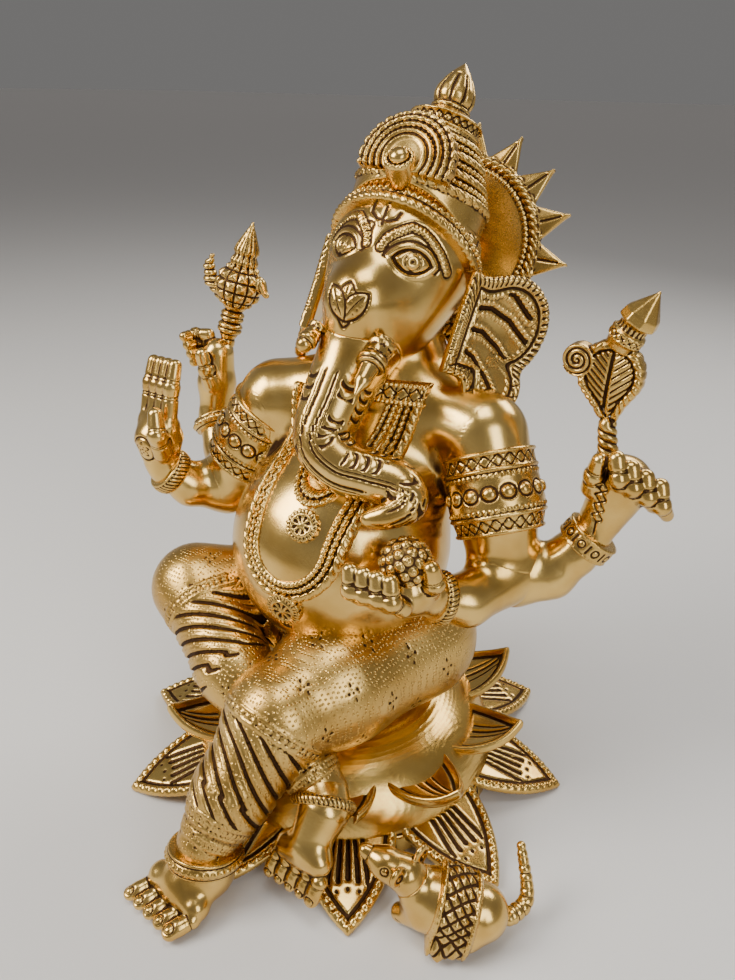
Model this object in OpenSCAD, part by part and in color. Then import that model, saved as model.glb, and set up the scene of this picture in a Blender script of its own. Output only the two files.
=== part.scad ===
// Seated elephant-headed deity on a lotus seat, cast brass, about 380 mm tall.
// Frame: +Z up, origin at the centre of the lotus on the resting plane, the figure faces -Y,
// its own left hand side is +X. Millimetres throughout.

/* [Casting] */
// Wall thickness of the hollow castings
wall = 4; // [3.5:0.5:5]
// Clearance left at every fitted joint between two castings
gap = 0.3; // [0.25:0.05:0.4]
// Thickness of the applied ornament bands
trim_t = 2.4; // [1.8:0.2:3]

/* [Lotus seat] */
// Radius of the domed cushion
seat_r = 92; // [88:1:94]
// Height of the domed cushion
seat_h = 52; // [48:1:54]
// Number of petals in each tier
petal_n = 10; // [8:1:11]
// Radius of the circle through the lower petal tips
lower_tip_r = 133; // [126:1:140]
// Length of a lower petal
lower_len = 62; // [56:1:66]
// Half angle at the point of a petal
petal_point = 50; // [42:1:56]
// Width of a lower petal
lower_wid = 54; // [44:1:56]
// Radius of the circle through the upper petal tips
upper_tip_r = 111; // [108:1:118]
// Length of an upper petal
upper_len = 48; // [44:1:52]
// Width of an upper petal
upper_wid = 42; // [36:1:44]

/* [Figure] */
// Radius of the belly
belly_r = 60; // [56:1:61]
// Radius of the chest
chest_r = 44; // [40:1:45]
// Radius of the skull
head_r = 37; // [35:1:38]
// Height of the crown tip above the middle of the skull
crown_h = 99; // [94:1:104]
// Radius of the halo to its ray tips
halo_r = 66; // [62:1:68]
// Number of rays round the halo
halo_n = 16; // [12:1:20]
// Radius of the sweet held in the front left hand
sweet_r = 12.5; // [10:0.5:13]
// Radius of the long necklace's lowest curve
necklace_r = 28; // [26:1:30]

/* [Hidden] */

$fn = 40;

// Colours
brass = [0.80, 0.62, 0.26];
light_brass = [0.88, 0.72, 0.36];
dark_brass = [0.62, 0.45, 0.17];

// A ball is [x, y, z, radius]; a limb is a list of balls joined by cones.
belly = [-4, -1, 147, belly_r];
chest = [3, 26, 192, chest_r];
collar = [4, 36, 222, 30];
neck = [4, 40, 246, 25];
shoulder_l = [58, 31, 214, 21];
shoulder_r = [-54, 14, 214, 21];
hip_mid = [0, 16, 92, 50];

thigh_l = [[34, 12, 90, 37], [19, -42, 86, 34], [9, -76, 82, 27]];
shin_l = [[9, -76, 82, 27], [3, -108, 54, 19.5], [-1, -126, 34, 14]];
thigh_r = [[-32, 8, 92, 34], [-82, -38, 106, 24]];
shin_r = [[-82, -38, 106, 24], [-34, -62, 84, 20], [22, -76, 60, 15], [40, -80, 50, 12]];
arm_l = [[62, 30, 213, 21], [76, 20, 184, 21.5], [84, 18, 150, 17]];
arm_r = [[-57, 12, 212, 20.5], [-71, 7, 187, 20.5], [-85, 0, 158, 17]];
fore_fl = [[86, 14, 147, 15.5], [78, -12, 144, 13], [68, -26, 150, 10.5]];
fore_bl = [[90, 22, 144, 16], [105, 29, 149, 14], [115, 34, 161, 11.5], [121, 37, 171, 10]];
fore_fr = [[-88, -2, 157, 15.5], [-97, -20, 162, 12.5], [-104, -31, 174, 10]];
fore_br = [[-88, 6, 159, 15], [-106, 18, 168, 11.5], [-118, 24, 184, 9.5]];
// Radius and width of the bangle at the end of each forearm
ring_fl = [13.5, 6];
ring_bl = [14, 9];
ring_fr = [13.5, 8];
ring_br = [13, 7];
belly_pendant_dir = [6, -59, -9];
chest_pendant_dir = [10, -47, 33];
trunk_top = [4, 4, 258];
trunk_line = [
    [1, -28, 218, 14], [14, -30, 208, 12.5], [41, -23, 203, 11], [51, -28, 197, 8.5], [43, -39, 192, 4.5]
];

// The head, its crown and its ears share one tilted frame.
head_at = [4, 40, 292];
head_turn = 8;
head_back = -24;
head_side = 8;
// The brow band lies on a great circle that drops towards the nape
band_slope = -30;
band_h = 10;

// Small shared sizes
neck_in = 0.97;
vent_r = 7;
stud_r = 4;
lower_slope = 15;
upper_slope = 22;
lower_phase = 16;
upper_phase = 12;
halo_phase = 94;
ear_flare_l = 52;
ear_flare_r = 68;
stud_y = 16;
lower_t = 3.2;
upper_t = 4;

// ---------------------------------------------------------------- helpers

// Stands the Z axis along the line from p to q, with its foot at p
module along(p, q) {
    d = [q[0] - p[0], q[1] - p[1], q[2] - p[2]];
    translate([p[0], p[1], p[2]])
        rotate([0, acos(d[2] / norm(d)), atan2(d[1], d[0])])
            children();
}

function span(p, q) = norm([q[0] - p[0], q[1] - p[1], q[2] - p[2]]);

function mid(p, q, t) = [for (i = [0 : 3]) p[i] * (1 - t) + q[i] * t];

module ball(b, e = 0) translate([b[0], b[1], b[2]]) sphere(r = b[3] + e);

// A chain of balls joined by cones, every radius grown by e
module limb(line, e = 0) {
    for (b = line) ball(b, e);
    for (i = [0 : len(line) - 2])
        along(line[i], line[i + 1])
            cylinder(h = span(line[i], line[i + 1]),
                     r1 = neck_in * (line[i][3] + e), r2 = neck_in * (line[i + 1][3] + e));
}

// The same chain with the poles of each ball turned along its own cone
module stem(line, e = 0) {
    for (i = [0 : len(line) - 2])
        along(line[i], line[i + 1]) {
            sphere(r = line[i][3] + e);
            cylinder(h = span(line[i], line[i + 1]),
                     r1 = neck_in * (line[i][3] + e), r2 = neck_in * (line[i + 1][3] + e));
            if (i == len(line) - 2)
                translate([0, 0, span(line[i], line[i + 1])]) sphere(r = line[i + 1][3] + e);
        }
}

// A rounded bangle round a limb: a barrel profile turned about the limb's own line
module bangle_on(p, q, t, inner, outer, width) {
    c = mid(p, q, t);
    along(c, q)
        rotate_extrude()
            polygon([[inner, -width / 2], [outer - 1.5, -width / 2], [outer, -width / 4],
                     [outer, width / 4], [outer - 1.5, width / 2], [inner, width / 2]]);
}

// A pointed leaf outline: two arcs that cross at the tip, x = 0, cut off at the root, x = -long
module leaf(long, wide) {
    r = wide / 2 / (1 - cos(petal_point));
    intersection() {
        translate([-r * sin(petal_point), -r * cos(petal_point)]) circle(r = r, $fn = 96);
        translate([-r * sin(petal_point), r * cos(petal_point)]) circle(r = r, $fn = 96);
        translate([-long, -wide]) square([long, 2 * wide]);
    }
}

module head_frame()
    translate(head_at) rotate([0, 0, head_turn]) rotate([head_back, 0, 0])
        rotate([0, head_side, 0]) children();

// ---------------------------------------------------------------- shapes shared by several castings

function seat_outline(r, h) = concat([[0, 0]],
    [for (a = [0 : 9 : 81]) [r * pow(cos(a), 0.6), h * pow(sin(a), 0.95)]], [[0, h]]);

module seat_form(e = 0) rotate_extrude($fn = 96) polygon(seat_outline(seat_r + e, seat_h + e));

module torso_form(e = 0) {
    ball(belly, e);
    ball(chest, e);
    ball(collar, e);
    ball(neck, e);
    limb([collar, shoulder_l], e);
    limb([collar, shoulder_r], e);
}

module hips_form(e = 0) {
    ball(hip_mid, e);
    ball(thigh_l[0], e - 1);
    ball(thigh_r[0], e - 1);
}

module left_leg_form(e = 0) {
    limb(thigh_l, e);
    limb(shin_l, e - 0.4);
}

module right_leg_form(e = 0) {
    limb(thigh_r, e);
    limb(shin_r, e - 0.4);
}

module head_form(e = 0) head_frame() {
    sphere(r = head_r + e);
    translate([0, -6, -24]) sphere(r = 30 + e);
    translate([0, -30, -27]) sphere(r = 19 + e);
    translate([1, -20, -52]) sphere(r = 13 + e);
}

// The patch of a shell grown over the torso that lies in front of an outline drawn in X and Z
module torso_trim(e, t)
    intersection() {
        difference() {
            torso_form(e + t);
            torso_form(e);
        }
        translate([0, 30, 0]) rotate([90, 0, 0]) linear_extrude(height = 120) children();
    }

// A hanging loop outline: round at the bottom, two straight strands up to the shoulders
module loop_outline(cx, cz, r, w, top, spread) {
    difference() {
        translate([cx, cz]) circle(r = r);
        translate([cx, cz]) circle(r = r - w);
        translate([cx - 2 * r, cz]) square([4 * r, 2 * r]);
    }
    for (s = [-1, 1])
        polygon([[cx + s * (r - w), cz], [cx + s * r, cz],
                 [cx + s * (spread + w), top], [cx + s * spread, top]]);
}

// ---------------------------------------------------------------- lotus seat

module seat_cushion() color(brass) difference() {
    seat_form();
    translate([0, 0, -0.01]) rotate_extrude($fn = 96)
        polygon(seat_outline(seat_r - wall, seat_h - wall));
    translate([0, stud_y, 0]) cylinder(h = seat_h + 5, r = stud_r + gap);
}

module base_plate() color(dark_brass) cylinder(h = 2.5, r = seat_r - wall - gap - 0.3, $fn = 96);

module upper_petal()
    translate([upper_tip_r, 0, 42]) rotate([0, -upper_slope, 0])
        intersection() {
            translate([0, 0, -10]) linear_extrude(height = 40) leaf(upper_len, upper_wid);
            translate([-upper_len / 2, 0, 50]) rotate([90, 0, 0]) difference() {
                cylinder(h = 60, r = 52, center = true, $fn = 96);
                cylinder(h = 62, r = 52 - upper_t, center = true, $fn = 96);
            }
        }

module upper_petals() color(light_brass) difference() {
    for (k = [0 : petal_n - 1]) rotate([0, 0, upper_phase + 360 / petal_n * k]) upper_petal();
    seat_form(gap);
    limb([shin_l[0], shin_l[1]], gap);
    limb([shin_r[1], shin_r[2], shin_r[3]], gap);
    right_anklet_form(gap);
}

module lower_petal()
    translate([lower_tip_r, 0, 0]) rotate([0, lower_slope, 0])
        linear_extrude(height = lower_t) leaf(lower_len, lower_wid);

module lower_petals() color(brass) difference() {
    for (k = [0 : petal_n - 1]) rotate([0, 0, lower_phase + 360 / petal_n * k]) lower_petal();
    seat_form(gap);
    left_leg_form(gap);
    left_foot_form(gap);
    right_foot_form(gap);
    mouse_form(gap);
}

// Threaded rod that pulls the figure down on to the cushion, its nut inside the seat
module centre_stud() color(dark_brass)
    translate([0, stud_y, seat_h - 24]) cylinder(h = 40, r = stud_r);

module stud_nut() color(dark_brass)
    translate([0, stud_y, seat_h - wall - 8.5]) difference() {
        cylinder(h = 6, r = 8, $fn = 6);
        translate([0, 0, -1]) cylinder(h = 8, r = stud_r + gap);
    }

// ---------------------------------------------------------------- body

// Hollow and open at the top, where the belly closes it
module hips() color(dark_brass) difference() {
    hips_form();
    ball(hip_mid, -wall);
    torso_form(gap);
    seat_form(gap);
    translate([0, stud_y, seat_h - 30]) cylinder(h = 50.5, r = stud_r + gap);
}

// Hollow, with a core vent that the hips cover
module torso() color(light_brass) difference() {
    torso_form();
    for (b = [belly, chest, collar]) ball(b, -wall);
    translate([0, stud_y, 70]) cylinder(h = 60, r = vent_r);
    head_form(gap);
    trunk_form(gap);
}

module left_leg() color(dark_brass) difference() {
    left_leg_form();
    limb(thigh_l, -wall);
    limb(shin_l, -wall);
    hips_form(gap);
    torso_form(gap);
    seat_form(gap);
}

module right_leg() color(dark_brass) difference() {
    right_leg_form();
    limb(thigh_r, -wall);
    limb([shin_r[0], shin_r[1]], -wall);
    left_leg_form(gap);
    hips_form(gap);
    torso_form(gap);
    seat_form(gap);
}

// Five toes side by side, the middle one at from, each a short tapering limb
module toes(from, step, ahead, r, e)
    for (i = [-2 : 2])
        let (f = [from[0] + step[0] * i, from[1] + step[1] * i, from[2] + step[2] * i])
            stem([[f[0], f[1], f[2], r], [f[0] + ahead[0], f[1] + ahead[1], f[2] + ahead[2], r * 0.85]], e);

// A foot: heel to instep, the width of the toe roots, then the toes
module left_foot_form(e = 0) {
    stem([[0, -127, 15, 14], [-7, -137, 12, 10.5]], e);
    stem([[-20, -139, 9, 7.6], [6, -143, 9, 7.2]], e);
    toes([-8, -146, 6.5], [8, -1.1, 0.2], [-5, -9.5, -1.6], 3.6, e);
}

module left_foot() color(light_brass) difference() {
    left_foot_form();
    left_leg_form(gap);
}

module right_foot_form(e = 0) {
    stem([[44, -87, 47, 13.5], [43, -99, 34, 10]], e);
    stem([[33, -101, 29, 7.5], [52, -103, 31, 7]], e);
    toes([42, -107, 24], [7, -0.6, 0.4], [-1.5, -4.5, -8.5], 3.4, e);
}

module right_foot() color(light_brass) difference() {
    right_foot_form();
    right_leg_form(gap);
    left_leg_form(gap);
    seat_form(gap);
}

module left_anklet() color(brass) difference() {
    along([-1, -128, 22], [-2, -124, 34]) cylinder(h = 8, r = 19);
    left_leg_form(gap);
    left_foot_form(gap);
}

module right_anklet_form(e = 0)
    along([40, -80, 51], [44, -90, 43]) translate([0, 0, 3 - e]) cylinder(h = 5 + 2 * e, r = 17 + e);

module right_anklet() color(brass) difference() {
    right_anklet_form();
    right_leg_form(gap);
    left_leg_form(gap);
    right_foot_form(gap);
    seat_form(gap);
}

// ---------------------------------------------------------------- chest ornaments

module long_loop(e = 0) loop_outline(0, 171, necklace_r + e, 9 + 2 * e, 226, 25);
module short_loop(e = 0) loop_outline(5, 204, 15 + e, 5 + 2 * e, 230, 14);

module long_necklace() color(brass) difference() {
    torso_trim(gap, trim_t) long_loop();
    pendant_form(belly_pendant_dir, 9, gap);
    trunk_form(gap);
}

module short_necklace() color(light_brass) difference() {
    torso_trim(gap, trim_t) short_loop();
    pendant_form(chest_pendant_dir, 8, gap);
    trunk_form(gap);
}

// Broad collar close round the neck
module choker() color(brass) difference() {
    torso_trim(gap, trim_t) translate([-26, 232]) square([60, 8]);
    head_form(gap);
    trunk_form(gap);
    torso_trim(0, trim_t + 1) short_loop(gap);
    torso_trim(0, trim_t + 1) long_loop(gap);
}

// A stepped disc that stands on the belly, out along a direction from its middle
module pendant_form(dir, r, e = 0)
    translate([belly[0], belly[1], belly[2]])
        rotate([0, acos(dir[2] / norm(dir)), atan2(dir[1], dir[0])])
            translate([0, 0, belly_r - 4]) {
                cylinder(h = 4 + trim_t + 1.4 + e, r = r + e);
                cylinder(h = 4 + trim_t + 3 + e, r = r * 0.55 + e);
            }

module belly_pendant() color(light_brass) difference() {
    pendant_form(belly_pendant_dir, 9);
    ball(belly, gap, $fn = 120);
}

module chest_pendant() color(light_brass) difference() {
    pendant_form(chest_pendant_dir, 8);
    ball(belly, gap, $fn = 120);
    ball(chest, gap, $fn = 120);
}

// ---------------------------------------------------------------- head

module head() color(light_brass) difference() {
    head_form();
    head_frame() sphere(r = head_r - wall);
    head_frame() translate([0, 4, -60]) cylinder(h = 40, r = vent_r);
    trunk_root(gap);
}

// The thick root comes straight out of the head, then the trunk swings to its own left
module trunk_root(e = 0)
    along(trunk_top, trunk_line[0]) translate([0, 0, -e])
        cylinder(h = span(trunk_top, trunk_line[0]) + e, r1 = 18.5 + e, r2 = 13.6 + e);

module trunk_form(e = 0) {
    trunk_root(e);
    stem(trunk_line, e);
}

module trunk() color(brass) trunk_form();

module tusk(s, long) color(light_brass) difference() {
    head_frame() {
        along([s * 17, -30, -42], [s * 19, -46, -66]) {
            cylinder(h = 17, r = 8);
            translate([0, 0, 16]) cylinder(h = long, r1 = 5.2, r2 = 2.2);
        }
    }
    head_form(gap);
    trunk_form(gap);
    torso_form(gap);
}

module left_tusk() tusk(1, 16);

// The right tusk is broken off short
module right_tusk() tusk(-1, 4);

// Flapping ear: a straight inner edge, a large upper lobe and a smaller lower one
module ear_outline()
    polygon(concat([[-5, -48], [-5, 2]],
                   [for (a = [110 : -11 : 0]) [25 + 25 * cos(a), -16 + 25 * sin(a)]],
                   [for (a = [10 : -11 : -120]) [26 + 18 * cos(a), -45 + 18 * sin(a)]]));

// Places its children in the plane of the left ear, s = 0, or the right ear, s = 1
module ear_frame(s)
    head_frame() mirror([s, 0, 0]) translate([s == 0 ? 43 : 38, -4, 1])
        rotate([0, 0, s == 0 ? ear_flare_l : ear_flare_r]) rotate([90, 0, 0]) children();

module ear(s) color(brass) difference() {
    ear_frame(s) translate([0, 0, -2.5]) difference() {
        linear_extrude(height = 6) ear_outline();
        translate([28, -20, 24]) sphere(r = 20.5);
        translate([27, -44, 20]) sphere(r = 16.5);
    }
    head_form(gap);
    torso_form(gap);
    limb(arm_l, gap);
    limb(arm_r, gap);
    head_frame() rotate([band_slope, 0, 0]) cylinder(h = 60, r = head_r + 4 + gap);
}

module left_ear() ear(0);
module right_ear() ear(1);

module brow_band() color(light_brass) difference() {
    head_frame() rotate([band_slope, 0, 0]) cylinder(h = band_h, r = head_r + 3.6, $fn = 72);
    head_form(gap);
}

// Tiered crown: a dome that sits on the brow band, then rings up to a bud; the skull fills its hollow
module crown() color(brass) difference() {
    head_frame() {
        difference() {
            sphere(r = head_r + 2.6, $fn = 72);
            rotate([band_slope, 0, 0]) translate([-80, -80, band_h + gap - 160]) cube(160);
        }
        rotate_extrude($fn = 72)
            polygon([[0, 20], [24, 20], [33, 33], [31, 38], [27, 47], [23, 55], [18.5, 62], [17.5, 65],
                     [17.5, 69], [13, 72], [8.5, 75], [8.5, 77], [10.5, 80], [10.2, 84],
                     [6, crown_h - 6], [2, crown_h], [0, crown_h]]);
    }
    head_frame() translate([0, 0, 20]) cylinder(h = 40, r1 = 22, r2 = 12);
    head_frame() rotate([band_slope, 0, 0])
        translate([0, 0, -20]) cylinder(h = 20 + band_h + gap, r = head_r + 3.6 + gap, $fn = 72);
    head_form(gap);
}

// Fan of feathers that stands on the front of the crown, behind the boss
module crown_plume() color(light_brass) difference() {
    head_frame() translate([0, -31, 39]) rotate([82, 0, 0]) intersection() {
        union() {
            cylinder(h = 3.5, r = 24);
            cylinder(h = 6, r = 16);
            translate([0, 0, -12]) cylinder(h = 14, r = 19);
        }
        translate([-30, -6, -20]) cube([60, 60, 60]);
    }
    crown_solid(gap);
    crown_boss_form(gap);
}

// The crown without its hollow, for parts that seat on it
module crown_solid(e = 0) head_frame() {
    sphere(r = head_r + 3.6 + e);
    rotate_extrude($fn = 72)
        polygon([[0, 8], [36 + e, 8], [35 + e, 26], [31 + e, 38], [27 + e, 47], [23 + e, 55],
                 [18.5 + e, 62], [17.5 + e, 65], [17.5 + e, 69 + e], [0, 74 + e]]);
}

module crown_boss_form(e = 0)
    head_frame() along([0, -26, 30], [0, -42, 39]) cylinder(h = 17 + e, r = 6.5 + e);

module crown_boss() color(light_brass) difference() {
    crown_boss_form();
    crown_solid(gap);
    head_form(gap);
}

// Sun disc behind the head
module halo() color(brass) difference() {
    head_frame() translate([5, 41.5, 22]) rotate([90, 0, 0]) translate([0, 0, -4]) {
        linear_extrude(height = 4)
            polygon([for (i = [0 : 2 * halo_n - 1])
                let (a = halo_phase + 180 / halo_n * i, r = i % 2 == 0 ? halo_r : halo_r - 14)
                    [r * cos(a), r * sin(a)]]);
        rotate_extrude($fn = 72) translate([halo_r - 19, 4]) circle(r = 2.2);
    }
    crown_solid(gap);
    head_form(gap);
    torso_form(gap);
    for (s = [0, 1]) ear_frame(s)
        translate([0, 0, -2.5 - gap]) linear_extrude(height = 6 + 2 * gap) ear_outline();
}

// ---------------------------------------------------------------- arms

module upper_arm(a) color(light_brass) difference() {
    limb(a);
    torso_form(gap);
}

module left_upper_arm() upper_arm(arm_l);
module right_upper_arm() upper_arm(arm_r);

module armband(a) color(brass) difference() {
    along(a[0], a[1]) translate([0, 0, span(a[0], a[1]) - 26]) {
        cylinder(h = 34, r = a[1][3] + 2.2);
        for (z = [0, 12, 28]) translate([0, 0, z]) cylinder(h = 6, r = a[1][3] + 3.4);
    }
    limb(a, gap);
    torso_form(gap);
}

module left_armband() armband(arm_l);
module right_armband() armband(arm_r);

module front_left_forearm() color(light_brass) difference() {
    limb(fore_fl);
    limb(arm_l, gap);
    torso_form(gap);
    left_leg_form(gap);
}

module rear_left_forearm() color(light_brass) difference() {
    limb(fore_bl);
    limb(arm_l, gap);
    limb(fore_fl, gap);
}

module front_right_forearm() color(light_brass) difference() {
    limb(fore_fr);
    limb(arm_r, gap);
    torso_form(gap);
}

module rear_right_forearm() color(light_brass) difference() {
    limb(fore_br);
    limb(arm_r, gap);
    limb(fore_fr, gap);
}

// A bangle near the end of a forearm; size is its radius and width
module bangle_form(line, size, inner = 0, e = 0) {
    n = len(line) - 1;
    bangle_on(line[n - 1], line[n], 0.86, inner, size[0] + e, size[1] + 2 * e);
}

module bangle(line, size) color(brass) difference() {
    bangle_form(line, size, 6);
    limb(line, gap);
    torso_form(gap);
}

module front_left_bangle() bangle(fore_fl, ring_fl);
module rear_left_bangle() bangle(fore_bl, ring_bl);
module front_right_bangle() bangle(fore_fr, ring_fr);
module rear_right_bangle() bangle(fore_br, ring_br);

// ---------------------------------------------------------------- hands and what they hold

// Four fingers side by side: each bends once at its middle knuckle
module fingers(from, step, first, second, r, e = 0)
    for (i = [0 : 3]) {
        a = [from[0] + step[0] * i, from[1] + step[1] * i, from[2] + step[2] * i];
        b = [a[0] + first[0], a[1] + first[1], a[2] + first[2]];
        c = [b[0] + second[0], b[1] + second[1], b[2] + second[2]];
        limb([[a[0], a[1], a[2], r], [b[0], b[1], b[2], r * 0.95], [c[0], c[1], c[2], r * 0.8]], e);
    }

module sweet_form(e = 0) translate([60, -43, 175]) sphere(r = sweet_r + e);

module front_left_hand() color(light_brass) difference() {
    union() {
        limb([[67, -33, 155, 10.5], [61, -43, 161, 12], [53, -50, 161, 9]]);
        fingers([66, -56, 160], [-6.5, -1.2, 0.4], [-2, -6, 6], [-2, 2, 9], 4.6);
    }
    limb(fore_fl, gap);
    sweet_form(gap);
    torso_form(gap);
    bangle_form(fore_fl, ring_fl, 0, gap);
}

module sweet() color(brass) difference() {
    sweet_form();
    trunk_form(gap);
    torso_form(gap);
}

module noose_stem(e = 0) {
    limb([[124, 45, 198, 4.5], [121, 45, 212, 4.5], [118, 45, 226, 6]], e);
}

module rear_left_hand() color(light_brass) difference() {
    union() {
        limb([[124, 41, 181, 11], [130, 45, 200, 14.5]]);
        limb([[118, 36, 198, 5], [120, 32, 213, 4.6]]);
        fingers([128, 33, 217], [6.6, 3.6, -4.4], [3, -2, -9], [2, 5, -6], 4.1);
    }
    limb(fore_bl, gap);
    noose_stem(gap);
    bangle_form(fore_bl, ring_bl, 0, gap);
}

// The noose: a hood-shaped leaf with a coil at one side and a bud finial
module noose() color(brass) {
    noose_stem();
    translate([116, 48, 254]) rotate([90, 0, 0]) linear_extrude(height = 6) hull() {
        translate([0, 3]) circle(r = 15.5, $fn = 32);
        translate([2, -24]) circle(r = 6, $fn = 32);
    }
    translate([100, 40, 258]) rotate([-90, 0, 0]) cylinder(h = 10, r = 7.5);
    along([117, 45, 266], [131, 45, 293]) {
        cylinder(h = 12, r = 7);
        translate([0, 0, 9]) cylinder(h = 5, r = 9.5);
        translate([0, 0, 13]) cylinder(h = 3, r = 7);
        translate([0, 0, 15.5]) cylinder(h = 15, r1 = 8.2, r2 = 1);
    }
}

module front_right_hand() color(light_brass) difference() {
    union() {
        limb([[-106, -33, 181, 10], [-106, -33, 193, 13.5]]);
        limb([[-106, -33, 195, 12.5], [-114, -28, 208, 7]]);
        limb([[-106, -33, 195, 12.5], [-98, -31, 208, 7]]);
        fingers([-117, -28, 208], [6.8, -1.2, 0.6], [0.5, 3, 14], [0, 4, 11], 4.6);
        limb([[-97, -40, 190, 5], [-94, -45, 202, 4.6], [-97, -42, 212, 4]]);
    }
    limb(fore_fr, gap);
    bangle_form(fore_fr, ring_fr, 0, gap);
}

module goad_shaft(e = 0) limb([[-117, 33, 208, 4], [-114, 38, 236, 4.6]], e);

module rear_right_hand() color(light_brass) difference() {
    union() {
        limb([[-118, 26, 191, 9.5], [-118, 29, 206, 11], [-117, 31, 224, 9.5]]);
        fingers([-122, 36, 218], [-1, -1.2, 5.4], [-8, -3, 0], [-1, -9, 0], 3.6);
        limb([[-114, 20, 208, 4.6], [-117, 17, 225, 4.2]]);
    }
    limb(fore_br, gap);
    goad_shaft(gap);
    bangle_form(fore_br, ring_br, 0, gap);
}

// The goad: a ringed shaft, a ball head with two beaks and a pointed bud
module goad() color(brass) {
    goad_shaft();
    along([-114, 38, 236], [-102, 51, 299]) {
        cylinder(h = 18, r = 5.2);
        translate([0, 0, 10]) cylinder(h = 5, r = 9);
        translate([0, 0, 29]) sphere(r = 14);
        translate([0, 0, 40]) cylinder(h = 10, r = 5.5);
        translate([0, 0, 44]) cylinder(h = 4.5, r = 8.5);
        translate([0, 0, 49]) cylinder(h = 17, r1 = 7.2, r2 = 0.8);
    }
    limb([[-119, 42, 258, 6], [-127, 40, 266, 4.4], [-125, 40, 278, 2.6]]);
    limb([[-100, 46, 268, 6], [-93, 46, 268, 4], [-90, 46, 261, 2.4]]);
}

// ---------------------------------------------------------------- mouse

// Barrel body, chest and the two legs on the near side
module mouse_body_form(e = 0) {
    limb([[100, -84, 24, 12], [112, -79, 19, 15], [126, -73, 16, 14]], e);
    limb([[102, -88, 14, 8], [91, -88, 6, 5]], e - 0.4);
    limb([[124, -84, 10, 8], [115, -93, 6, 5]], e - 0.4);
}

module mouse_form(e = 0) {
    mouse_body_form(e);
    mouse_head_form(e);
}

module mouse_head_form(e = 0) {
    limb([[92, -87, 34, 9.5], [82, -90, 38, 7.5], [72, -92, 42, 3.6]], e);
    for (s = [[92, -96, 41], [96, -80, 43]]) translate(s) sphere(r = 4.6 + e);
}

module mouse_body() color(brass) difference() {
    mouse_body_form();
    mouse_head_form(gap);
    mouse_saddle_form(gap);
    translate([0, -200, -50]) cube([200, 200, 50]);
}

module mouse_head() color(light_brass) mouse_head_form();

module mouse_saddle_form(e = 0) difference() {
    along([112, -79, 19], [126, -73, 16]) translate([0, 0, -6 - e]) cylinder(h = 13 + 2 * e, r = 16.6 + e);
    along([112, -79, 19], [126, -73, 16]) translate([0, 0, -8 - e]) cylinder(h = 17 + 2 * e, r = 13.4 - e);
    translate([0, -200, -42 - e]) cube([200, 200, 50]);
}

module mouse_saddle() color(brass) mouse_saddle_form();

module mouse_tail() color(brass) difference() {
    limb([[138, -64, 10, 4.4], [142, -52, 14, 3.6], [132, -40, 32, 2.4]]);
    ball([126, -73, 16, 14], gap);
}

// ---------------------------------------------------------------- assembly

seat_cushion();
base_plate();
upper_petals();
lower_petals();
centre_stud();
stud_nut();
hips();
torso();
left_leg();
right_leg();
left_foot();
right_foot();
left_anklet();
right_anklet();
long_necklace();
short_necklace();
choker();
belly_pendant();
chest_pendant();
head();
trunk();
left_tusk();
right_tusk();
left_ear();
right_ear();
brow_band();
crown();
crown_plume();
crown_boss();
halo();
left_upper_arm();
right_upper_arm();
left_armband();
right_armband();
front_left_forearm();
rear_left_forearm();
front_right_forearm();
rear_right_forearm();
front_left_bangle();
rear_left_bangle();
front_right_bangle();
rear_right_bangle();
front_left_hand();
rear_left_hand();
front_right_hand();
rear_right_hand();
sweet();
noose();
goad();
mouse_body();
mouse_head();
mouse_saddle();
mouse_tail();
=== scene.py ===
"""Looks of a cast brass statue: an elephant-headed deity seated on a lotus, with a mouse at its foot.

Every piece is sculpted as a signed distance field in millimetres, in the frame of the CAD, and then
turned into a mesh. Skeleton points are offsets from the middle of a CAD node's box. Engraving and
raised ornament are part of the field, so they are real geometry.
"""
import math

import bpy
import numpy as np
import openvdb
from mathutils import Matrix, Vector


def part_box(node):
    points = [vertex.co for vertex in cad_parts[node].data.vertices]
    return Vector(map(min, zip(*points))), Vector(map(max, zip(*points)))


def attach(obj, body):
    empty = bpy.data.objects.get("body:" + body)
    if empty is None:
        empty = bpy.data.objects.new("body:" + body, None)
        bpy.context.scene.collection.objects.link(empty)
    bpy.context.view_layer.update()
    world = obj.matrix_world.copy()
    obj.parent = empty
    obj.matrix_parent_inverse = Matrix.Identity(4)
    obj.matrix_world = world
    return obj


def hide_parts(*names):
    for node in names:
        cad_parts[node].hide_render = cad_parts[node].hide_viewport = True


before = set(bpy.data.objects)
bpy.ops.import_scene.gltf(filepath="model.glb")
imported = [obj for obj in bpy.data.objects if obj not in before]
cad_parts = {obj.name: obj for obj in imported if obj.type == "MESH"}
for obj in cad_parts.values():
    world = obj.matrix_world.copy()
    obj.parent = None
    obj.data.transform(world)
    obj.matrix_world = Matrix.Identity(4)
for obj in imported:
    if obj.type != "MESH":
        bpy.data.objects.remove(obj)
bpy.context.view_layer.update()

MM = 0.001
FINE = 0.62       # voxel of small ornamented pieces, mm
COARSE = 0.85     # voxel of the large body pieces, mm
PETAL = 0.76      # voxel of the upper petals, mm
LEAF = 0.94       # voxel of the lower petals, mm
WIDE = 1.06       # voxel of the torso and the cushion, mm
BAND = 3.0                          # how many voxels of distance are kept each side of a surface


# ---------------------------------------------------------------- places taken from the frame

def corners(node):
    """Lowest and highest corner of a CAD node, in mm."""
    low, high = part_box(node)
    return np.array(low) / MM, np.array(high) / MM


def middle(node):
    low, high = corners(node)
    return (low + high) / 2


def chain(node, *balls):
    """Balls (x, y, z, radius) given as offsets from the middle of a node, as an array in the frame."""
    line = np.array(balls, float)
    line[:, :3] += middle(node)
    return line


# ---------------------------------------------------------------- distance fields

def unit(v):
    v = np.asarray(v, float)
    return v / np.linalg.norm(v)


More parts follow.
